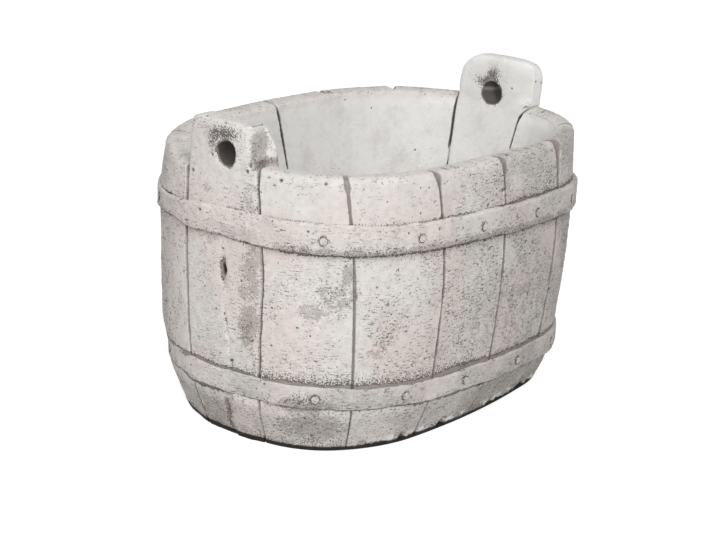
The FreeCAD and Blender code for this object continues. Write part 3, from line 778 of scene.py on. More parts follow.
def grown(name, mesh, tree, settings):
    """A plain mesh object that holds what a tree makes of a mesh."""
    seedling = bpy.data.objects.new(name + "_blank", mesh)
    bpy.context.scene.collection.objects.link(seedling)
    modifier = seedling.modifiers.new("tree", "NODES")
    modifier.node_group = tree
    for item in tree.interface.items_tree:
        if item.in_out == "INPUT" and item.name in settings:
            modifier[item.identifier] = settings[item.name]
    evaluated = seedling.evaluated_get(bpy.context.evaluated_depsgraph_get())
    result = bpy.data.meshes.new_from_object(evaluated)
    bpy.data.objects.remove(seedling)
    result.name = name
    made = bpy.data.objects.new(name, result)
    bpy.context.scene.collection.objects.link(made)
    return made


def blend_colour(tree, share, first, second):
    """The first colour, with a share of the second one over it."""
    return add_node(tree, "ShaderNodeMix", {0: share, 6: first, 7: second}, data_type="RGBA").outputs[2]


# What the concrete reads from the vertices of each piece, under the same names in small letters.
VERTEX_VALUES = ("Groove", "Dirt", "Hole", "Inside", "Worn", "Grey", "Grain")


def weathered_concrete():
    """Shader group: the colour, roughness and fine relief of pale cast concrete that has stood outside, with
    painted shade in its holes and hollows and painted highlights on its grain.
    """
    inputs = {"Place": "Vector", "Wall place": "Vector", **dict.fromkeys(VERTEX_VALUES, "Float")}
    outputs = {"Color": "Color", "Roughness": "Float", "Height": "Float"}
    tree = new_tree("weathered_concrete", "ShaderNodeTree", inputs, outputs)
    given = add_node(tree, "NodeGroupInput").outputs
    place = given["Place"]

    def times(first, second):
        """The product of two values."""
        return compute(tree, "MULTIPLY", first, second)

    def plus(first, second):
        """The sum of two values."""
        return compute(tree, "ADD", first, second)

    pale = (0.720, 0.700, 0.675, 1)
    rosy = (0.715, 0.628, 0.598, 1)
    clean = (0.835, 0.828, 0.812, 1)
    smudged = (0.580, 0.565, 0.545, 1)
    tan = (0.640, 0.590, 0.545, 1)
    ashen = (0.420, 0.398, 0.375, 1)
    stone = (0.345, 0.312, 0.288, 1)
    soot = (0.165, 0.143, 0.130, 1)
    soil = (0.200, 0.172, 0.160, 1)
    silt = (0.265, 0.234, 0.217, 1)
    umber = (0.100, 0.083, 0.078, 1)
    bright = (0.930, 0.922, 0.910, 1)
    void = (0.022, 0.019, 0.017, 1)
    cinder = (0.260, 0.232, 0.214, 1)

    tint_size = 0.075
    wash_size = 0.042
    smudge_size = 0.040
    drift_size = 0.026
    mottle_size = 0.0080
    patch_size = 0.042
    cluster_size = 0.034
    flake_size = 0.012
    grit_size = 0.0019
    speck_size = 0.0014
    relief_size = 0.0022
    pin_spacing = 0.0085
    brush_scale = (130.0, 700.0, 1.0)

    outside = compute(tree, "SUBTRACT", 1.0, given["Inside"])

    # The ground colour: pale to rosy, greyer where weathered, cleaner inside, with smudges and mottles.
    tint = ramp(tree, cloud(tree, place, tint_size, 3.0), 0.38, 0.60, 0.15, 0.95)
    level = add_node(tree, "ShaderNodeSeparateXYZ", {"Vector": given["Wall place"]}).outputs["Y"]
    tint = times(tint, ramp(tree, level, 0.230, 0.285, 1.0, 0.35))
    colour = blend_colour(tree, tint, pale, rosy)
    wash = times(given["Grey"], ramp(tree, cloud(tree, place, wash_size, 5.0, 0.62), 0.32, 0.66, 0.45, 1.35))
    colour = blend_colour(tree, wash, colour, ashen)
    colour = blend_colour(tree, given["Inside"], colour, clean)
    smudge = ramp(tree, cloud(tree, place, smudge_size, 5.0, 0.66), 0.46, 0.74, 0.0, 0.40)
    colour = blend_colour(tree, smudge, colour, smudged)
    drift = ramp(tree, cloud(tree, place, drift_size, 5.0, 0.66), 0.50, 0.70, 0.0, 0.45)
    colour = blend_colour(tree, times(drift, given["Inside"]), colour, tan)
    mottle = ramp(tree, cloud(tree, place, mottle_size, 4.0, 0.65), 0.36, 0.70, 0.0, 0.30)
    mottle = times(mottle, plus(0.30, times(outside, 0.70)))
    colour = blend_colour(tree, mottle, colour, ashen)

    # Fine dark flecks, partly speckle and partly painted shade of the grain, and pale flecks that are painted
    # highlights on the grain, drawn out along the wall.
    brushed = add_node(tree, "ShaderNodeMapping", {"Vector": given["Wall place"], "Scale": brush_scale})
    brush = add_node(tree, "ShaderNodeTexNoise", {"Vector": brushed.outputs[0], "Scale": 1.0, "Detail": 2.5})
    grit = cloud(tree, place, grit_size, 1.5, 0.6)
    patch = ramp(tree, cloud(tree, place, patch_size, 5.0, 0.66), 0.42, 0.60, 0.28, 1.75)
    grains = times(times(given["Grain"], patch), plus(times(outside, 0.85), 0.15))
    fleck = plus(times(grit, 0.42), times(brush.outputs[0], 0.58))
    dark_flecks = times(ramp(tree, fleck, 0.552, 0.594, 0.0, 0.62), grains)
    colour = blend_colour(tree, dark_flecks, colour, cinder)
    pale_grains = compute(tree, "MINIMUM", grains, 0.8)
    pale_flecks = times(ramp(tree, fleck, 0.405, 0.445, 0.30, 0.0), pale_grains)
    colour = blend_colour(tree, pale_flecks, colour, bright)

    # Flakes that bare the grey stone, and dark dots and wisps that crowd in clusters and in worn spots.
    cluster = ramp(tree, cloud(tree, place, cluster_size, 4.0, 0.62), 0.48, 0.68)
    cluster = times(plus(cluster, times(given["Worn"], 0.70)), outside)
    flake = plus(times(cloud(tree, place, flake_size, 5.0, 0.72), 0.62), times(grit, 0.38))
    flake = times(ramp(tree, plus(flake, times(given["Worn"], 0.24)), 0.635, 0.670), outside)
    colour = blend_colour(tree, times(flake, plus(0.32, times(given["Worn"], 0.34))), colour, stone)
    dots = ramp(tree, plus(grit, plus(times(cluster, 0.10), times(outside, 0.05))), 0.770, 0.800)
    colour = blend_colour(tree, times(dots, 0.84), colour, soot)
    wisps = ramp(tree, plus(brush.outputs[0], plus(times(cluster, 0.08), times(outside, 0.05))), 0.735, 0.775)
    colour = blend_colour(tree, times(wisps, 0.62), colour, soot)

    # Pinholes, besides the air holes that the mesh has.
    cells = add_node(tree, "ShaderNodeTexVoronoi", {"Vector": place, "Scale": 1.0 / pin_spacing})
    chance = add_node(tree, "ShaderNodeSeparateColor", {"Color": cells.outputs["Color"]})
    size = ramp(tree, chance.outputs[1], 0.0, 1.0, 0.07, 0.17)
    pin = ramp(tree, compute(tree, "DIVIDE", cells.outputs["Distance"], size), 0.7, 1.0, 1.0, 0.0)
    common = plus(times(outside, 0.26), 0.06)
    pin = times(pin, compute(tree, "LESS_THAN", chance.outputs[0], common))
    holes = compute(tree, "MAXIMUM", times(pin, 0.8), given["Hole"])

    # Over all of it dirt and painted shade in fine specks, the joints, painted shade in the holes, and black
    # painted shade where dirt and shade are deepest.
    cover = times(compute(tree, "SUBTRACT", given["Dirt"], 0.5), 0.46)
    speck = cloud(tree, place, speck_size, 1.5, 0.6)
    stain = times(ramp(tree, plus(speck, cover), 0.525, 0.575), ramp(tree, given["Dirt"], 0.0, 0.15))
    stained = blend_colour(tree, ramp(tree, given["Dirt"], 0.90, 1.05), umber, silt)
    colour = blend_colour(tree, times(stain, 0.90), colour, stained)
    colour = blend_colour(tree, times(given["Groove"], 0.84), colour, soil)
    inner_line = times(given["Groove"], given["Inside"])
    colour = blend_colour(tree, times(inner_line, 0.70), colour, void)
    # The air holes and pinholes are painted dark as shade.
    colour = blend_colour(tree, times(holes, 0.90), colour, void)
    colour = blend_colour(tree, ramp(tree, given["Dirt"], 1.1, 1.8), colour, void)

    # The fine relief of the grain, and of the marks.
    coarse = ramp(tree, grains, 0.0, 1.4)
    relief = times(cloud(tree, place, relief_size, 4.0, 0.65), plus(0.00016, times(coarse, 0.00080)))
    relief = compute(tree, "SUBTRACT", relief, times(fleck, times(coarse, 0.00060)))
    for mark, depth in ((dots, 0.00045), (wisps, 0.00022), (flake, 0.00035), (pin, 0.0009)):
        relief = compute(tree, "SUBTRACT", relief, times(mark, depth))
    results = add_node(tree, "NodeGroupOutput").inputs
    tree.links.new(colour, results["Color"])
    tree.links.new(ramp(tree, mottle, 0.0, 0.30, 0.82, 0.95), results["Roughness"])
    tree.links.new(relief, results["Height"])
    return tree


CAST_SKIN = cast_skin()
WEATHERED_CONCRETE = weathered_concrete()


def concrete_material(name):
    """The concrete of one kind of piece, which reads its dirt, painted shade and wear from the piece's own
    vertices.
    """
    material = bpy.data.materials.new(name)
    material.use_nodes = True
    tree = material.node_tree
    tree.nodes.clear()
    group = add_node(tree, "ShaderNodeGroup", node_tree=WEATHERED_CONCRETE)
    tree.links.new(add_node(tree, "ShaderNodeTexCoord").outputs["Object"], group.inputs["Place"])
    wall_place = add_node(tree, "ShaderNodeAttribute", attribute_name="wall_place")
    tree.links.new(wall_place.outputs["Vector"], group.inputs["Wall place"])
    for socket in VERTEX_VALUES:
        stored = add_node(tree, "ShaderNodeAttribute", attribute_name=socket.lower())
        tree.links.new(stored.outputs["Fac"], group.inputs[socket])
    bump = {"Strength": 1.0, "Distance": 1.0, "Height": group.outputs["Height"]}
    relief = add_node(tree, "ShaderNodeBump", bump)
    shader = add_node(tree, "ShaderNodeBsdfPrincipled", {
        "Base Color": group.outputs["Color"], "Roughness": group.outputs["Roughness"],
        "Specular IOR Level": 0.25, "Normal": relief.outputs[0],
    })
    tree.links.new(shader.outputs[0], add_node(tree, "ShaderNodeOutputMaterial").inputs["Surface"])
    return material


def place_piece(piece, node):
    """Let a finished piece stand for its CAD node on the tub's one body."""
    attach(piece, "root")
    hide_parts(node)


STAVE_SKIN = {
    "Wave height": 0.0012, "Lump height": 0.0006, "Grain height": 0.0007,
    "Hole depth": 0.0022, "Hole size": 0.0017, "Hole share": 0.55, "Shift": 3.0,
    "Material": concrete_material("stave_concrete"),
}
for stave in RING:
    if "ear" not in stave:
        place_piece(grown(stave + "_cast", stave_mesh(stave), CAST_SKIN, STAVE_SKIN), stave)

# Ear staves
# The two taller staves at the ends of the tub, each with a round hole through it to lift the tub by. They are
# cast in the same concrete. The left one has the mould's seam down its middle and an ear with a worn side.

EAR_VOXEL = 0.0015
# How many times each ear's edges are softened: the right one is rubbed rounder.
LEFT_EAR_ROUNDS = 12
RIGHT_EAR_ROUNDS = 40
EAR_HOLE_HEIGHT = 0.297
EAR_HOLE_RADIUS = 0.013
# How far the end of each hole that the camera doesn't see runs askew.
HOLE_SKEW = 0.0055
FAR_HOLE_SKEW = -1.8 * HOLE_SKEW
# The mould's seam on the left stave: heights, and how far it lies off the stave's middle there.
SEAM_HEIGHTS = (0.0, 0.012, 0.050, 0.086, 0.120, 0.180, 0.236, 0.288)
SEAM_PLACES = (0.006, 0.006, 0.013, 0.014, 0.008, 0.001, -0.002, -0.002)
SEAM_HOLLOW_HEIGHT = 0.181
SEAM_HOLLOW_DEPTH = 0.0055
# How far one side of each ear stands out at a height: the left one flares and leans, the right one is wide.
FLARE_HEIGHTS = (0.276, 0.287, 0.296, 0.306, 0.316, 0.330)
FLARES = (0, 0.0108, 0.0085, 0.0035, -0.005, -0.011)
WIDE_HEIGHTS = (0.276, 0.290, 0.330)
WIDENINGS = (0, 0.0085, 0.0110)


def refined(node, voxel):
    """A copy of a CAD node's mesh in small even faces."""
    build = bmesh.new()
    build.from_mesh(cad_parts[node].data)
    bmesh.ops.remove_doubles(build, verts=build.verts, dist=1e-6)
    source = bpy.data.meshes.new(node + "_source")
    build.to_mesh(source)
    build.free()
    source.materials.clear()
    holder = bpy.data.objects.new(node + "_holder", source)
    bpy.context.scene.collection.objects.link(holder)
    remesh = holder.modifiers.new("even faces", "REMESH")
    remesh.mode = "VOXEL"
    remesh.voxel_size = voxel
    evaluated = holder.evaluated_get(bpy.context.evaluated_depsgraph_get())
    mesh = bpy.data.meshes.new_from_object(evaluated)
    bpy.data.objects.remove(holder)
    return mesh


def vertex_places(mesh):
    """Where each vertex lies, one row for each."""
    places = np.empty(len(mesh.vertices) * 3, dtype=np.float32)
    mesh.vertices.foreach_get("co", places)
    return places.reshape(-1, 3).astype(float)


def soften(places, edges, strength, rounds):
    """Draw each vertex towards the middle of its neighbours, more where its strength is high."""
    count = np.bincount(edges.ravel(), minlength=len(places))
    for _ in range(rounds):
        middle = np.empty_like(places)
        for axis in range(3):
            near = np.bincount(edges[:, 0], places[edges[:, 1], axis], len(places))
            near += np.bincount(edges[:, 1], places[edges[:, 0], axis], len(places))
            middle[:, axis] = near / count
        places = places + (middle - places) * strength[:, None]
    return places


def spot(along, height, place, middle, half_length, half_height):
    """A soft round mark on the unrolled wall, 1 at its middle."""
    return np.exp(-(((along - place) / half_length) ** 2) - (((height - middle) / half_height) ** 2))


def softened(mesh, rounds):
    """Places of an ear stave's vertices with its edges rubbed round, all but the edge of its hole."""
    places = vertex_places(mesh)
    edges = np.empty(len(mesh.edges) * 2, dtype=np.int32)
    mesh.edges.foreach_get("vertices", edges)
    hole_gap = np.hypot(places[:, 1], places[:, 2] - EAR_HOLE_HEIGHT)
    strength = 0.10 + 0.38 * smooth_step(0.268, 0.296, places[:, 2])
    strength *= smooth_step(EAR_HOLE_RADIUS, EAR_HOLE_RADIUS + 0.008, hole_gap)
    return soften(places, edges.reshape(-1, 2), strength, rounds)


def ear_on_wall(node, places):
    """Where each vertex of an ear stave lies: off the stave's middle, up, set back, and round its hole."""
    centre, radius, start, end = RING[node]
    spoke = places[:, :2] - centre
    turn = np.arctan2(spoke[:, 1], spoke[:, 0])
    if node == "left_ear_stave":
        turn = turn % (2 * math.pi)
    off = (turn - (start + end) / 2) * radius
    height = places[:, 2].copy()
    set_back = np.linalg.norm(spoke, axis=1) - radius
    hole_turn = np.arctan2(height - EAR_HOLE_HEIGHT, off)
    hole_gap = np.hypot(off * (1 + set_back / radius), height - EAR_HOLE_HEIGHT)
    hole_gap = hole_gap + 0.0004 * np.sin(3 * hole_turn + 1) + 0.0003 * np.sin(7 * hole_turn)
    return SimpleNamespace(
        off=off, height=height, set_back=set_back, hole_turn=hole_turn, hole_gap=hole_gap,
        outside=smooth_step(-0.022, -0.010, set_back - bulge(np.minimum(height, RIM_HEIGHT)) + 0.004),
        above=smooth_step(RIM_HEIGHT, 0.326, height),
        near_hole=fading(hole_gap, EAR_HOLE_RADIUS, EAR_HOLE_RADIUS + 0.012),
        # The bore of the hole, which is painted dark as shade.
        in_hole=fading(hole_gap, EAR_HOLE_RADIUS + 0.0002, EAR_HOLE_RADIUS + 0.0018),
    )


def lean_on_joints(node, ear):
    """Lean an ear stave along with the joints at its two sides, and find their grooves."""
    half = LENGTHS[node] / 2
    level = np.minimum(ear.height, RIM_HEIGHT)
    first = joint_lean(BEFORE[node], level, ear.outside) * np.clip(-ear.off / half, 0, 1.1) ** 2
    last = joint_lean(node, level, ear.outside) * np.clip(ear.off / half, 0, 1.1) ** 2
    ear.along = STARTS[node] + half + ear.off + (first + last) * (1 - 0.55 * ear.above)
    ear.gap = half - np.abs(ear.off)
    width = np.where(ear.off < 0, JOINTS[BEFORE[node]][0], JOINTS[node][0])
    thin = groove_share(ear.height) * width / 0.0030
    groove = fading(ear.gap, 0.0010 * thin, 0.0023 * thin) * fading(ear.height, 0.280, 0.292)
    cuts = np.where(ear.off < 0, inner_cut(BEFORE[node], ear.height), inner_cut(node, ear.height))
    ear.groove = groove * (ear.outside + (1 - ear.outside) * cuts)


def mould_seam(ear):
    """Add the mould's seam to the left stave: a step, a crack and a hollow along it, the dirt in them,
    painted shade beside the seam low down, and black painted shade in the hollow.
    """
    off, height, outside = ear.off, ear.height, ear.outside
    seam = off - np.interp(height, SEAM_HEIGHTS, SEAM_PLACES) - 0.0012 * wander(height, 0.006, 21)
    low = fading(height, 0.205, 0.240) * outside
    step = smooth_step(-0.0020, 0.0030, seam) * fading(seam, 0.010, 0.040)
    ear.moved = ear.moved - 0.0012 * step * low
    crack = np.exp(-((seam / 0.0013) ** 2))
    ear.moved -= 0.0016 * crack * low * (0.45 + 0.55 * wander(height, 0.020, 22))
    seam_dirt = np.exp(-((seam / 0.0024) ** 2)) * low * (0.5 + 0.5 * wander(height, 0.016, 23))
    flush = smooth_step(-0.002, 0.003, seam) * fading(height, 0.048, 0.064) * outside
    ear.moved += 0.0034 * flush * fading(off, 0.020, 0.046)
    # Painted shade left of the seam, low down, and black painted shade in the hollow.
    shaded = np.exp(-(((seam + 0.006) / 0.006) ** 2)) * fading(height, 0.042, 0.052) * outside
    hollow = np.exp(-((seam / 0.0034) ** 2) - (((height - SEAM_HOLLOW_HEIGHT) / 0.011) ** 2)) * outside
    ear.moved -= SEAM_HOLLOW_DEPTH * hollow
    ear.dirt = np.maximum.reduce([ear.dirt, 0.92 * seam_dirt, 0.82 * shaded, 2.0 * hollow])


def wear_left_ear(ear):
    """The left ear's flared and worn side, the stain over its hole, a smear with painted shade along the foot
    of its side, a pit painted black as shade, and the pale lip where the hole's painted shade is left off.
    """
    off, outside = ear.off, ear.outside
    flared = np.interp(ear.height, FLARE_HEIGHTS, FLARES)
    ear.slid = HOLE_SKEW * ear.near_hole * (1 - outside)
    ear.slid += (flared * (1 - outside) - 0.0088 * ear.above * outside) * smooth_step(0.012, 0.050, off)
    ear.slid -= 0.0025 * ear.near_hole + 0.0035 * ear.above * smooth_step(-0.012, -0.050, off)
    height = ear.height - 0.0015 * ear.near_hole
    edge_wear = smooth_step(0.024, 0.047, off) * smooth_step(0.280, 0.312, height) * outside
    ear.moved -= 0.0060 * edge_wear
    stain = spot(off, height, -0.004, 0.3155, 0.021, 0.009)
    stain = stain + 0.7 * spot(off, height, -0.019, 0.302, 0.008, 0.013)
    smear = spot(off, height, 0.040, 0.303, 0.0058, 0.015) * (0.3 + 0.7 * outside)
    # Painted shade where the ear's side meets the rim.
    smear += smooth_step(0.041, 0.046, off) * spot(off, height, off, 0.291, 1.0, 0.005)
    # The pale lip: a part of the bore left without its painted shade.
    lip = smooth_step(0.35, 0.85, np.cos(ear.hole_turn + 2.3)) * smooth_step(-0.009, -0.004, ear.set_back)
    ear.in_hole = ear.in_hole * (1 - 0.85 * lip)
    # A pit, painted black as shade.
    pit = spot(off, height, 0.034, 0.289, 0.0036, 0.0030) * outside
    ear.moved -= 0.0030 * pit
    ear.dirt = np.maximum.reduce([ear.dirt, 0.86 * stain * outside, 0.30 * smear, 1.3 * pit])
    ear.smeared = 1.9 * smear
    ear.height = height + 0.0010 * smooth_step(0.312, 0.330, height) * smooth_step(-0.010, -0.040, off)


def wear_right_ear(ear):
    """The right ear's stain round its hole, painted shade at the foot of its side, and its rounder, wider and
    higher top.
    """
    off, height, inner = ear.off, ear.height, 1 - ear.outside
    stain = spot(off, height, 0.000, 0.3175, 0.012, 0.011)
    stain = stain + 0.75 * spot(off, height, 0.019, 0.309, 0.013, 0.007)
    stain = stain + 0.55 * np.exp(-(((ear.hole_gap - EAR_HOLE_RADIUS) / 0.004) ** 2))
    # Painted shade at the foot of the ear's side, just over the rim.
    shaded = smooth_step(-0.034, -0.048, off) * spot(off, height, off, 0.290, 1.0, 0.007) * inner
    ear.dirt = np.maximum.reduce([ear.dirt, 0.84 * stain * inner, 0.62 * shaded])
    ear.slid = FAR_HOLE_SKEW * ear.near_hole * (1 - inner)
    ear.slid += 0.0025 * smooth_step(0.020, 0.050, off) * ear.above
    ear.slid -= np.interp(height, WIDE_HEIGHTS, WIDENINGS) * smooth_step(-0.015, -0.050, off)
    ear.moved += 0.009 * smooth_step(-0.024, -0.052, off) * inner * smooth_step(0.280, 0.300, height)
    ear.smeared = np.zeros_like(off)
    ear.height = height + 0.0030 * smooth_step(0.316, 0.334, height) * smooth_step(0.050, 0.010, off)


def ear_piece(node, material):
    """One ear stave: the CAD shape in small faces, leaned, rounded, worn, soiled and painted with shade."""
    left = node == "left_ear_stave"
    mesh = refined(node, EAR_VOXEL)
    places = softened(mesh, LEFT_EAR_ROUNDS if left else RIGHT_EAR_ROUNDS)
    ear = ear_on_wall(node, places)
    lean_on_joints(node, ear)
    along, height, outside = ear.along, ear.height, ear.outside
    dirt = np.maximum(hoop_dirt(along, places[:, 0], height), foot_dirt(along, height))
    ear.dirt = dirt * outside
    ear.moved = (foot_fill(along, height) - foot_chips(along, height) - tuck(along, height)) * outside
    if left:
        mould_seam(ear)
        wear_left_ear(ear)
        outer_skin = np.ones_like(along)
    else:
        wear_right_ear(ear)
        outer_skin = smooth_step(-0.006, -0.001, ear.set_back)
    height = ear.height
    places[:, 0], places[:, 1] = on_oval(along + ear.slid, ear.set_back + ear.moved)
    places[:, 2] = np.maximum(height, 0.0)
    mesh.vertices.foreach_set("co", places.astype(np.float32).ravel())
    mesh.update()
    mesh.shade_smooth()

    free = smooth_step(0.0002, 0.0030, np.where(height < 0.284, ear.gap, 1.0))
    shown = np.where((height < FLOOR_THICKNESS) & (outside < 0.5) | (height < 0.001), 0.0, 1.0)
    set_values(
        mesh,
        skin=free * (0.35 + 0.65 * outside) * shown * smooth_step(0.0, 0.006, height),
        groove=ear.groove * shown,
        # The bore of the hole is painted black as shade.
        dirt=np.maximum(ear.dirt, 1.55 * ear.in_hole),
        pitting=(0.3 + 0.4 * smooth_step(0.25, 0.28, height)) * outside,
        inside=1 - outside + (outside - outer_skin) * smooth_step(0.282, 0.292, height),
        # The smear's share of wear includes the painted shade along the foot of the ear's side.
        worn=np.maximum(worn(along, height) * outside, ear.smeared),
        grey=greyed(along, height) * outside,
        grain=graininess(along, height),
    )
    set_wall_place(mesh, along, height)
    skin = dict(STAVE_SKIN, Material=material)
    place_piece(grown(node + "_cast", mesh, CAST_SKIN, skin), node)


ear_material = concrete_material("ear_stave_concrete")
for ear in ("left_ear_stave", "right_ear_stave"):
    ear_piece(ear, ear_material)

# Hoops
# Two flat bands round the tub, cast in the same concrete as the staves and standing a little proud of them.
# Their edges are soft and uneven, and both lie a little lower towards the far end.

HOOP_EDGE_ROUND = 0.0026
HOOP_CLEARANCE = 0.0002
HOOP_STEP = 0.0015
HOOP_EDGE_STEP = 0.0008
HOOP_DEPTH = 0.012
MERGED_RISE = 0.0006
NAIL_RING_RADIUS = 0.0050
# Stretches of the oval on which an edge has run into the staves: middle, half length, how much of it is gone.
MERGED_EDGES = {
    ("upper_hoop", "top"): ((0.070, 0.045, 0.85), (0.170, 0.060, 0.55), (0.260, 0.040, 0.40)),
    ("upper_hoop", "low"): ((0.066, 0.024, 0.80),),
    ("lower_hoop", "top"): ((0.066, 0.012, 0.70),),
    ("lower_hoop", "low"): ((0.085, 0.024, 0.95), (0.215, 0.070, 0.75), (1.350, 0.050, 0.50)),
}


def wall_face(height):
    """Set-back of the staves' outer face at any height, the tapered foot included."""
    chine = float(bulge(CHINE_HEIGHT))
    foot = -FOOT_SET_BACK + (FOOT_SET_BACK + chine) * np.asarray(height) / CHINE_HEIGHT
    return np.where(np.asarray(height) < CHINE_HEIGHT, foot, bulge(np.maximum(height, CHINE_HEIGHT)))


def merged(along, hoop, edge):
    """How far an edge of a hoop has run into the staves along the oval, from 0 to 1."""
    total = np.zeros_like(along)
    for place, half_length, share in MERGED_EDGES[hoop, edge]:
        total = np.maximum(total, share * around(along, place, 0.6 * half_length, half_length))
    return total


# Where the nails sit: off the middle of a stave by one shift, except on the long sides.
NAIL_SHIFT = 0.013
nail_places = []
for number, (kind, side_x) in enumerate(HALF_SIDE, 1):
    front = f"front_stave_{number}"
    back = f"back_stave_{number}"
    radius = RING[front][1]
    shift = 0.0 if kind == "side" else -side_x * radius * math.asin(NAIL_SHIFT / radius)
    nail_places.append(STARTS[front] + LENGTHS[front] / 2 + shift)
    nail_places.append(STARTS[back] + LENGTHS[back] / 2 - shift)


def hoop_soiling(name, along, share):
    """How worn and soiled a hoop's low third is. Share runs from 0 at the low edge to 1 at the top one."""
    soiled = 0.45
    if name == "upper_hoop":
        front_side = around(along, 0.31, 0.18, 0.22)
        drifts = smooth_step(-0.7, 0.5, wander(along, 0.060, 37))
        soiled = 0.35 + 0.65 * np.maximum(drifts, 1.2 * front_side)
        soiled = soiled * (0.3 + 0.7 * smooth_step(0.045, 0.085, ring_gap(along, 0.045)))
    return smooth_step(0.42, 0.08, share + 0.08 * wander(along, 0.008, 38)) * soiled


def nail_rings(along, over):
    """Broken dark rings round the nail heads. Over is the height over the hoop's centre line."""
    ring = np.zeros(over.shape)
    for place in nail_places:
        distance = np.hypot(ring_gap(along, place), over)
        turn = np.arctan2(over, along - place)
        broken = 0.76 + 0.34 * wander(turn + 40 * place, 0.8, 39)
        ring = np.maximum(ring, broken * np.exp(-(((distance - NAIL_RING_RADIUS) / 0.0009) ** 2)))
    return ring


def hoop_grey(name, along):
    """How grey a hoop is round the tub: some of the staves' grey there, and a grey of its own."""
    near = 0.12 * around(along, 0.160, 0.060, 0.100)
    near = near - (0.26 * around(along, 1.375, 0.050, 0.090) if name == "lower_hoop" else 0.0)
    wall_share, base = (0.65, 0.10) if name == "upper_hoop" else (0.80, 0.38)
    return np.maximum(np.interp(along, GREY_PLACES, GREY_SHARES) * wall_share + near + base, 0.0)


def hoop_mesh(name):
    """A closed band: a rounded strip swept round the oval, with its back on the staves."""
    width = HOOPS[name][1]
    strip = rounded_outline([
        (0.0, -width / 2, HOOP_EDGE_ROUND, HOOP_EDGE_STEP), (0.0, width / 2, HOOP_EDGE_ROUND, HOOP_EDGE_STEP),
        (-HOOP_DEPTH, width / 2, 0, HOOP_STEP), (-HOOP_DEPTH, -width / 2, 0, HOOP_STEP),
    ])
    strip = np.roll(strip, -2, axis=0)
    along = np.linspace(0, OVAL_LENGTH, round(OVAL_LENGTH / HOOP_STEP) + 1)[None, :-1]
    proud = hoop_proud(name, along)
    face = hoop_face(name, along)
    flat_x, _ = on_oval(along, face)

    top_edge = 0.0009 * wander(along, 0.045, 31) + 0.0006 * wander(along, 0.012, 32)
    low_edge = 0.0009 * wander(along, 0.050, 34) + 0.0006 * wander(along, 0.014, 35)
    top_edge = top_edge + 0.0003 * wander(along, 0.004, 33)
    low_edge = low_edge + 0.0003 * wander(along, 0.004, 36)
    top, low = hoop_edges(name, along)
    top_edge = top_edge + top
    low_edge = low_edge + low
    share = (strip[:, 1] / width + 0.5)[:, None]
    line = hoop_line(name, along, flat_x)
    height = line + strip[:, 1:] + top_edge * share + low_edge * (1 - share)
    behind = strip[:, :1] < -0.5 * HOOP_DEPTH
    wall = wall_face(height) - tuck(along, height)
    back = wall + HOOP_CLEARANCE
    sunk = merged(along, name, "top") * smooth_step(0.45, 1.0, share)
    sunk = np.maximum(sunk, merged(along, name, "low") * smooth_step(0.55, 0.0, share))
    front = face + strip[:, :1] * 0.8
    front = front + (np.maximum(wall, front - proud) + MERGED_RISE - front) * sunk
    set_back = np.where(behind, back, np.maximum(front, back))
    x, y = on_oval(np.broadcast_to(along, height.shape), set_back)
    vertices = np.stack([x, y, height], axis=2).reshape(-1, 3)
    mesh = bpy.data.meshes.new(name)
    mesh.from_pydata(vertices.tolist(), [], grid_quads(*x.shape, closed=True).tolist())
    mesh.shade_smooth()

    shown = np.broadcast_to(np.where(behind, 0.0, 1.0), x.shape)
    low_third = hoop_soiling(name, along, share)
    # A dark line of dirt and painted shade along the hoop's low edge.
    under = smooth_step(0.10, 0.0, share)
    dirt = np.maximum(np.maximum(0.38 * low_third, 0.9 * under), 0.95 * nail_rings(along, height - line))
    if name == "lower_hoop":
        dirt = np.maximum(dirt, 0.62 * spot(along, height, 0.150, 0.062, 0.036, 0.010))
    set_values(
        mesh,
        skin=shown,
        groove=np.zeros(x.shape),
        dirt=dirt,
        pitting=0.4 * shown,
        inside=np.zeros(x.shape),
        worn=0.85 * low_third + 0.8 * worn(along, height),
        grey=np.broadcast_to(hoop_grey(name, along), x.shape),
        grain=0.7 + 1.2 * low_third,
    )
    set_wall_place(mesh, along, height)
    return mesh


HOOP_SKIN = {
    "Wave height": 0.0006, "Lump height": 0.0008, "Grain height": 0.0005,
    "Hole depth": 0.0018, "Hole size": 0.0015, "Hole share": 0.5, "Shift": 5.0,
    "Material": concrete_material("hoop_concrete"),
}
for hoop in HOOPS:
    place_piece(grown(hoop + "_cast", hoop_mesh(hoop), CAST_SKIN, HOOP_SKIN), hoop)

# Nails
# One nail for each plain stave on each hoop, cast like the rest, with a flat round head that stands a little
# proud of the hoop. The shank goes through the hoop into the stave.

NAIL_HEAD_RADIUS = 0.0045
NAIL_HEAD_RISE = 0.0020
NAIL_SHANK_RADIUS = 0.00225
NAIL_LENGTH = 0.020
NAIL_SIDES = 20
# The head from its middle outwards: a low dome in a shallow dish. Radius, and height as a share of the rise.
NAIL_HEAD = (
    (0.0, 0.62), (0.0012, 0.60), (0.0022, 0.50), (0.0028, 0.50),
    (0.0034, 0.62), (0.0039, 0.60), (0.0043, 0.40), (NAIL_HEAD_RADIUS, 0.10),
)


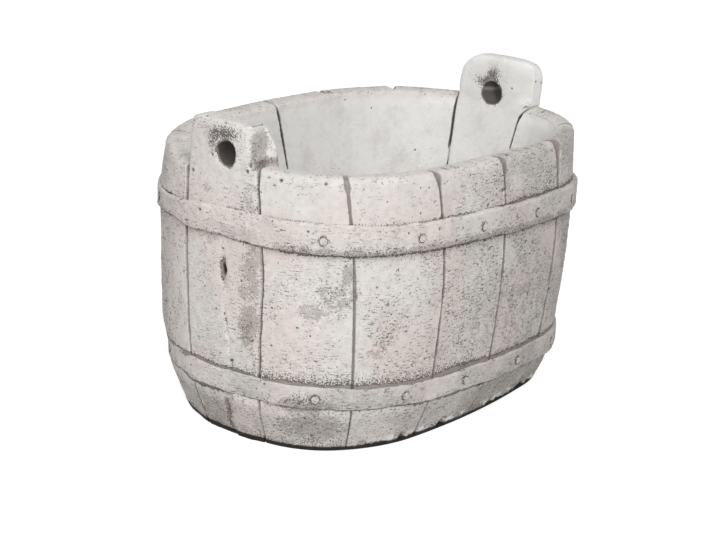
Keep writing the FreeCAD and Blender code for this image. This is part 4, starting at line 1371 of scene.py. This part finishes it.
def nail_mesh():
    """One nail that points along Z, with the underside of its head at the origin."""
    rings = [(radius, NAIL_HEAD_RISE * share) for radius, share in NAIL_HEAD]
    rings += [(NAIL_HEAD_RADIUS, 0.0), (NAIL_SHANK_RADIUS, 0.0)]
    rings += [(NAIL_SHANK_RADIUS, -NAIL_LENGTH), (0.0, -NAIL_LENGTH)]
    build = bmesh.new()
    loops = []
    for radius, height in rings:
        loop = []
        for step in range(NAIL_SIDES if radius else 1):
            x, y = radius * direction(2 * math.pi * step / NAIL_SIDES)
            loop.append(build.verts.new((x, y, height)))
        loops.append(loop)
    for inner, outer in zip(loops, loops[1:]):
        for step in range(NAIL_SIDES):
            corners = []
            for loop, places in ((inner, (step, step + 1)), (outer, (step + 1, step))):
                corners += [loop[place % len(loop)] for place in places]
            build.faces.new(dict.fromkeys(corners))
    bmesh.ops.recalc_face_normals(build, faces=build.faces)
    for face in build.faces:
        face.smooth = True
    mesh = bpy.data.meshes.new("nail")
    build.to_mesh(mesh)
    build.free()
    spread = np.hypot(*vertex_places(mesh)[:, :2].T)
    ring = smooth_step(0.0032, 0.0040, spread)
    set_values(mesh, dirt=0.82 * ring, grey=np.full(len(spread), 0.30), worn=np.full(len(spread), 0.45),
               grain=np.full(len(spread), 0.6))
    return mesh


def nails_on_points():
    """Nodes that set one nail on every point, square to the hoop."""
    inputs = {"Geometry": "Geometry", "Nail": "Object", "Material": "Material"}
    tree = new_tree("nails_on_points", "GeometryNodeTree", inputs, {"Geometry": "Geometry"})
    given = add_node(tree, "NodeGroupInput").outputs
    outward = add_node(tree, "GeometryNodeInputNamedAttribute", {"Name": "outward"}, data_type="FLOAT_VECTOR")
    facing = {"Vector": outward.outputs[0]}
    turn = add_node(tree, "FunctionNodeAlignRotationToVector", facing, axis="Z").outputs[0]
    nail = add_node(tree, "GeometryNodeObjectInfo", {"Object": given["Nail"]}).outputs["Geometry"]
    points = add_node(tree, "GeometryNodeInstanceOnPoints", {
        "Points": given["Geometry"], "Instance": nail, "Rotation": turn,
    })
    hand_out(tree, points.outputs[0], given["Material"])
    return tree


nail_material = concrete_material("nail_concrete")
nail_object = bpy.data.objects.new("nail", nail_mesh())
NAILS_ON_POINTS = nails_on_points()
nail_places = np.array(nail_places)
for hoop in HOOPS:
    face = hoop_face(hoop, nail_places)
    x, y = on_oval(nail_places, face)
    further_x, further_y = on_oval(nail_places, face + 1.0)
    spots = np.stack([x, y, hoop_line(hoop, nail_places, x)], axis=1).tolist()
    outwards = np.stack([further_x - x, further_y - y, np.zeros_like(x)], axis=1)
    points = bpy.data.meshes.new(hoop + "_nail_points")
    points.from_pydata(spots, [], [])
    layer = points.attributes.new("outward", "FLOAT_VECTOR", "POINT")
    layer.data.foreach_set("vector", outwards.astype(np.float32).ravel())
    settings = {"Nail": nail_object, "Material": nail_material}
    nails = grown(hoop + "_nails_cast", points, NAILS_ON_POINTS, settings)
    place_piece(nails, hoop + "_nails")
bpy.data.objects.remove(nail_object)

# Floor slab
# The bottom of the tub, a flat slab of the same concrete with a tongue that sits in the staves' croze and a
# drain hole in the middle. It keeps the CAD shape, and is a little darker and rosier than the staves' inside.

floor_material = concrete_material("floor_concrete")
floor_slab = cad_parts["floor_slab"]
floor_slab.data.materials.clear()
floor_slab.data.materials.append(floor_material)

# Studio
# A wide pale floor that the camera sees as white, with the tub's soft shadow on it, one large soft lamp high
# on the left, and even light from all round.

FLOOR_HALF = 5.0
ground_corners = [(x * FLOOR_HALF, y * FLOOR_HALF, 0) for x, y in ((-1, -1), (1, -1), (1, 1), (-1, 1))]
ground = bpy.data.meshes.new("studio_floor")
ground.from_pydata(ground_corners, [], [(0, 1, 2, 3)])
ground_object = bpy.data.objects.new("studio_floor", ground)
bpy.context.scene.collection.objects.link(ground_object)


def seen_directly(tree):
    """1 for what the camera sees, straight on, in a reflection or through glass."""
    path = add_node(tree, "ShaderNodeLightPath")
    watched = compute(tree, "MAXIMUM", path.outputs["Is Camera Ray"], path.outputs["Is Glossy Ray"])
    return compute(tree, "MAXIMUM", watched, path.outputs["Is Transmission Ray"])


ground_material = bpy.data.materials.new("studio_floor")
ground_material.use_nodes = True
tree = ground_material.node_tree
tree.nodes.clear()
lit = add_node(tree, "ShaderNodeBsdfDiffuse", {"Color": (0.80, 0.80, 0.80, 1)})
shown = add_node(tree, "ShaderNodeBsdfDiffuse", {"Color": (0.50, 0.50, 0.50, 1)})
glow = add_node(tree, "ShaderNodeEmission", {"Color": (1, 1, 1, 1), "Strength": 0.80})
seen = add_node(tree, "ShaderNodeAddShader", {0: shown.outputs[0], 1: glow.outputs[0]})
mixed = add_node(tree, "ShaderNodeMixShader", {0: seen_directly(tree), 1: lit.outputs[0], 2: seen.outputs[0]})
tree.links.new(mixed.outputs[0], add_node(tree, "ShaderNodeOutputMaterial").inputs["Surface"])
ground.materials.append(ground_material)

world = bpy.data.worlds.new("studio_light")
world.use_nodes = True
tree = world.node_tree
tree.nodes.clear()
soft = add_node(tree, "ShaderNodeBackground", {"Color": (1, 1, 1, 1), "Strength": 0.42})
white = add_node(tree, "ShaderNodeBackground", {"Color": (1, 1, 1, 1), "Strength": 1.0})
shades = {0: seen_directly(tree), 1: soft.outputs[0], 2: white.outputs[0]}
mixed = add_node(tree, "ShaderNodeMixShader", shades)
tree.links.new(mixed.outputs[0], add_node(tree, "ShaderNodeOutputWorld").inputs["Surface"])
bpy.context.scene.world = world

TUB_MIDDLE = Vector((0, 0, 0.144))


def soft_lamp(name, azimuth, elevation, distance, size, power):
    """A square lamp that faces the tub from a distance. Azimuth 0 stands at -X, and 90 at -Y."""
    turn, rise = math.radians(azimuth), math.radians(elevation)
    towards = Vector((-math.cos(turn) * math.cos(rise), -math.sin(turn) * math.cos(rise), math.sin(rise)))
    light = bpy.data.lights.new(name, "AREA")
    light.size = size
    light.energy = power
    lamp = bpy.data.objects.new(name, light)
    bpy.context.scene.collection.objects.link(lamp)
    lamp.location = TUB_MIDDLE + towards * distance
    lamp.rotation_euler = towards.to_track_quat("Z", "Y").to_euler()


soft_lamp("key_lamp", 37, 42, 2.6, 2.0, 53)

# Camera
# It stands at the near end of the tub, to the left of its long side, a little above the rim, and is turned
# slightly about its own axis, as the photograph's was. Sizes are for a frame 710 pixels wide.

FRAME_WIDTH = 710
FRAME_HEIGHT = 560
FOCAL_PIXELS = 1862.4
CENTRE_X = 370.9
CENTRE_Y = 256.4
SENSOR_WIDTH = 36.0
VIEW_AZIMUTH = -0.9357
VIEW_ELEVATION = 0.29227
VIEW_ROLL = 0.0618
VIEW_DISTANCE = 2.0185
level = math.cos(VIEW_ELEVATION)
backward = Vector((math.sin(VIEW_AZIMUTH) * level, -math.cos(VIEW_AZIMUTH) * level, math.sin(VIEW_ELEVATION)))
rightward = Vector((math.cos(VIEW_AZIMUTH), math.sin(VIEW_AZIMUTH), 0))
upward = backward.cross(rightward)
rolled_right = math.cos(VIEW_ROLL) * rightward + math.sin(VIEW_ROLL) * upward
rolled_up = math.cos(VIEW_ROLL) * upward - math.sin(VIEW_ROLL) * rightward
stand = TUB_MIDDLE + backward * VIEW_DISTANCE
camera_data = bpy.data.cameras.new("camera")
camera_data.sensor_fit = "HORIZONTAL"
camera_data.sensor_width = SENSOR_WIDTH
camera_data.lens = FOCAL_PIXELS / FRAME_WIDTH * SENSOR_WIDTH
camera_data.shift_x = (FRAME_WIDTH / 2 - CENTRE_X) / FRAME_WIDTH
camera_data.shift_y = (CENTRE_Y - FRAME_HEIGHT / 2) / FRAME_WIDTH
camera = bpy.data.objects.new("camera", camera_data)
camera.matrix_world = Matrix((
    (rolled_right.x, rolled_up.x, backward.x, stand.x),
    (rolled_right.y, rolled_up.y, backward.y, stand.y),
    (rolled_right.z, rolled_up.z, backward.z, stand.z),
    (0, 0, 0, 1),
))
bpy.context.scene.collection.objects.link(camera)
bpy.context.scene.camera = camera
bpy.context.scene.view_settings.view_transform = "Standard"
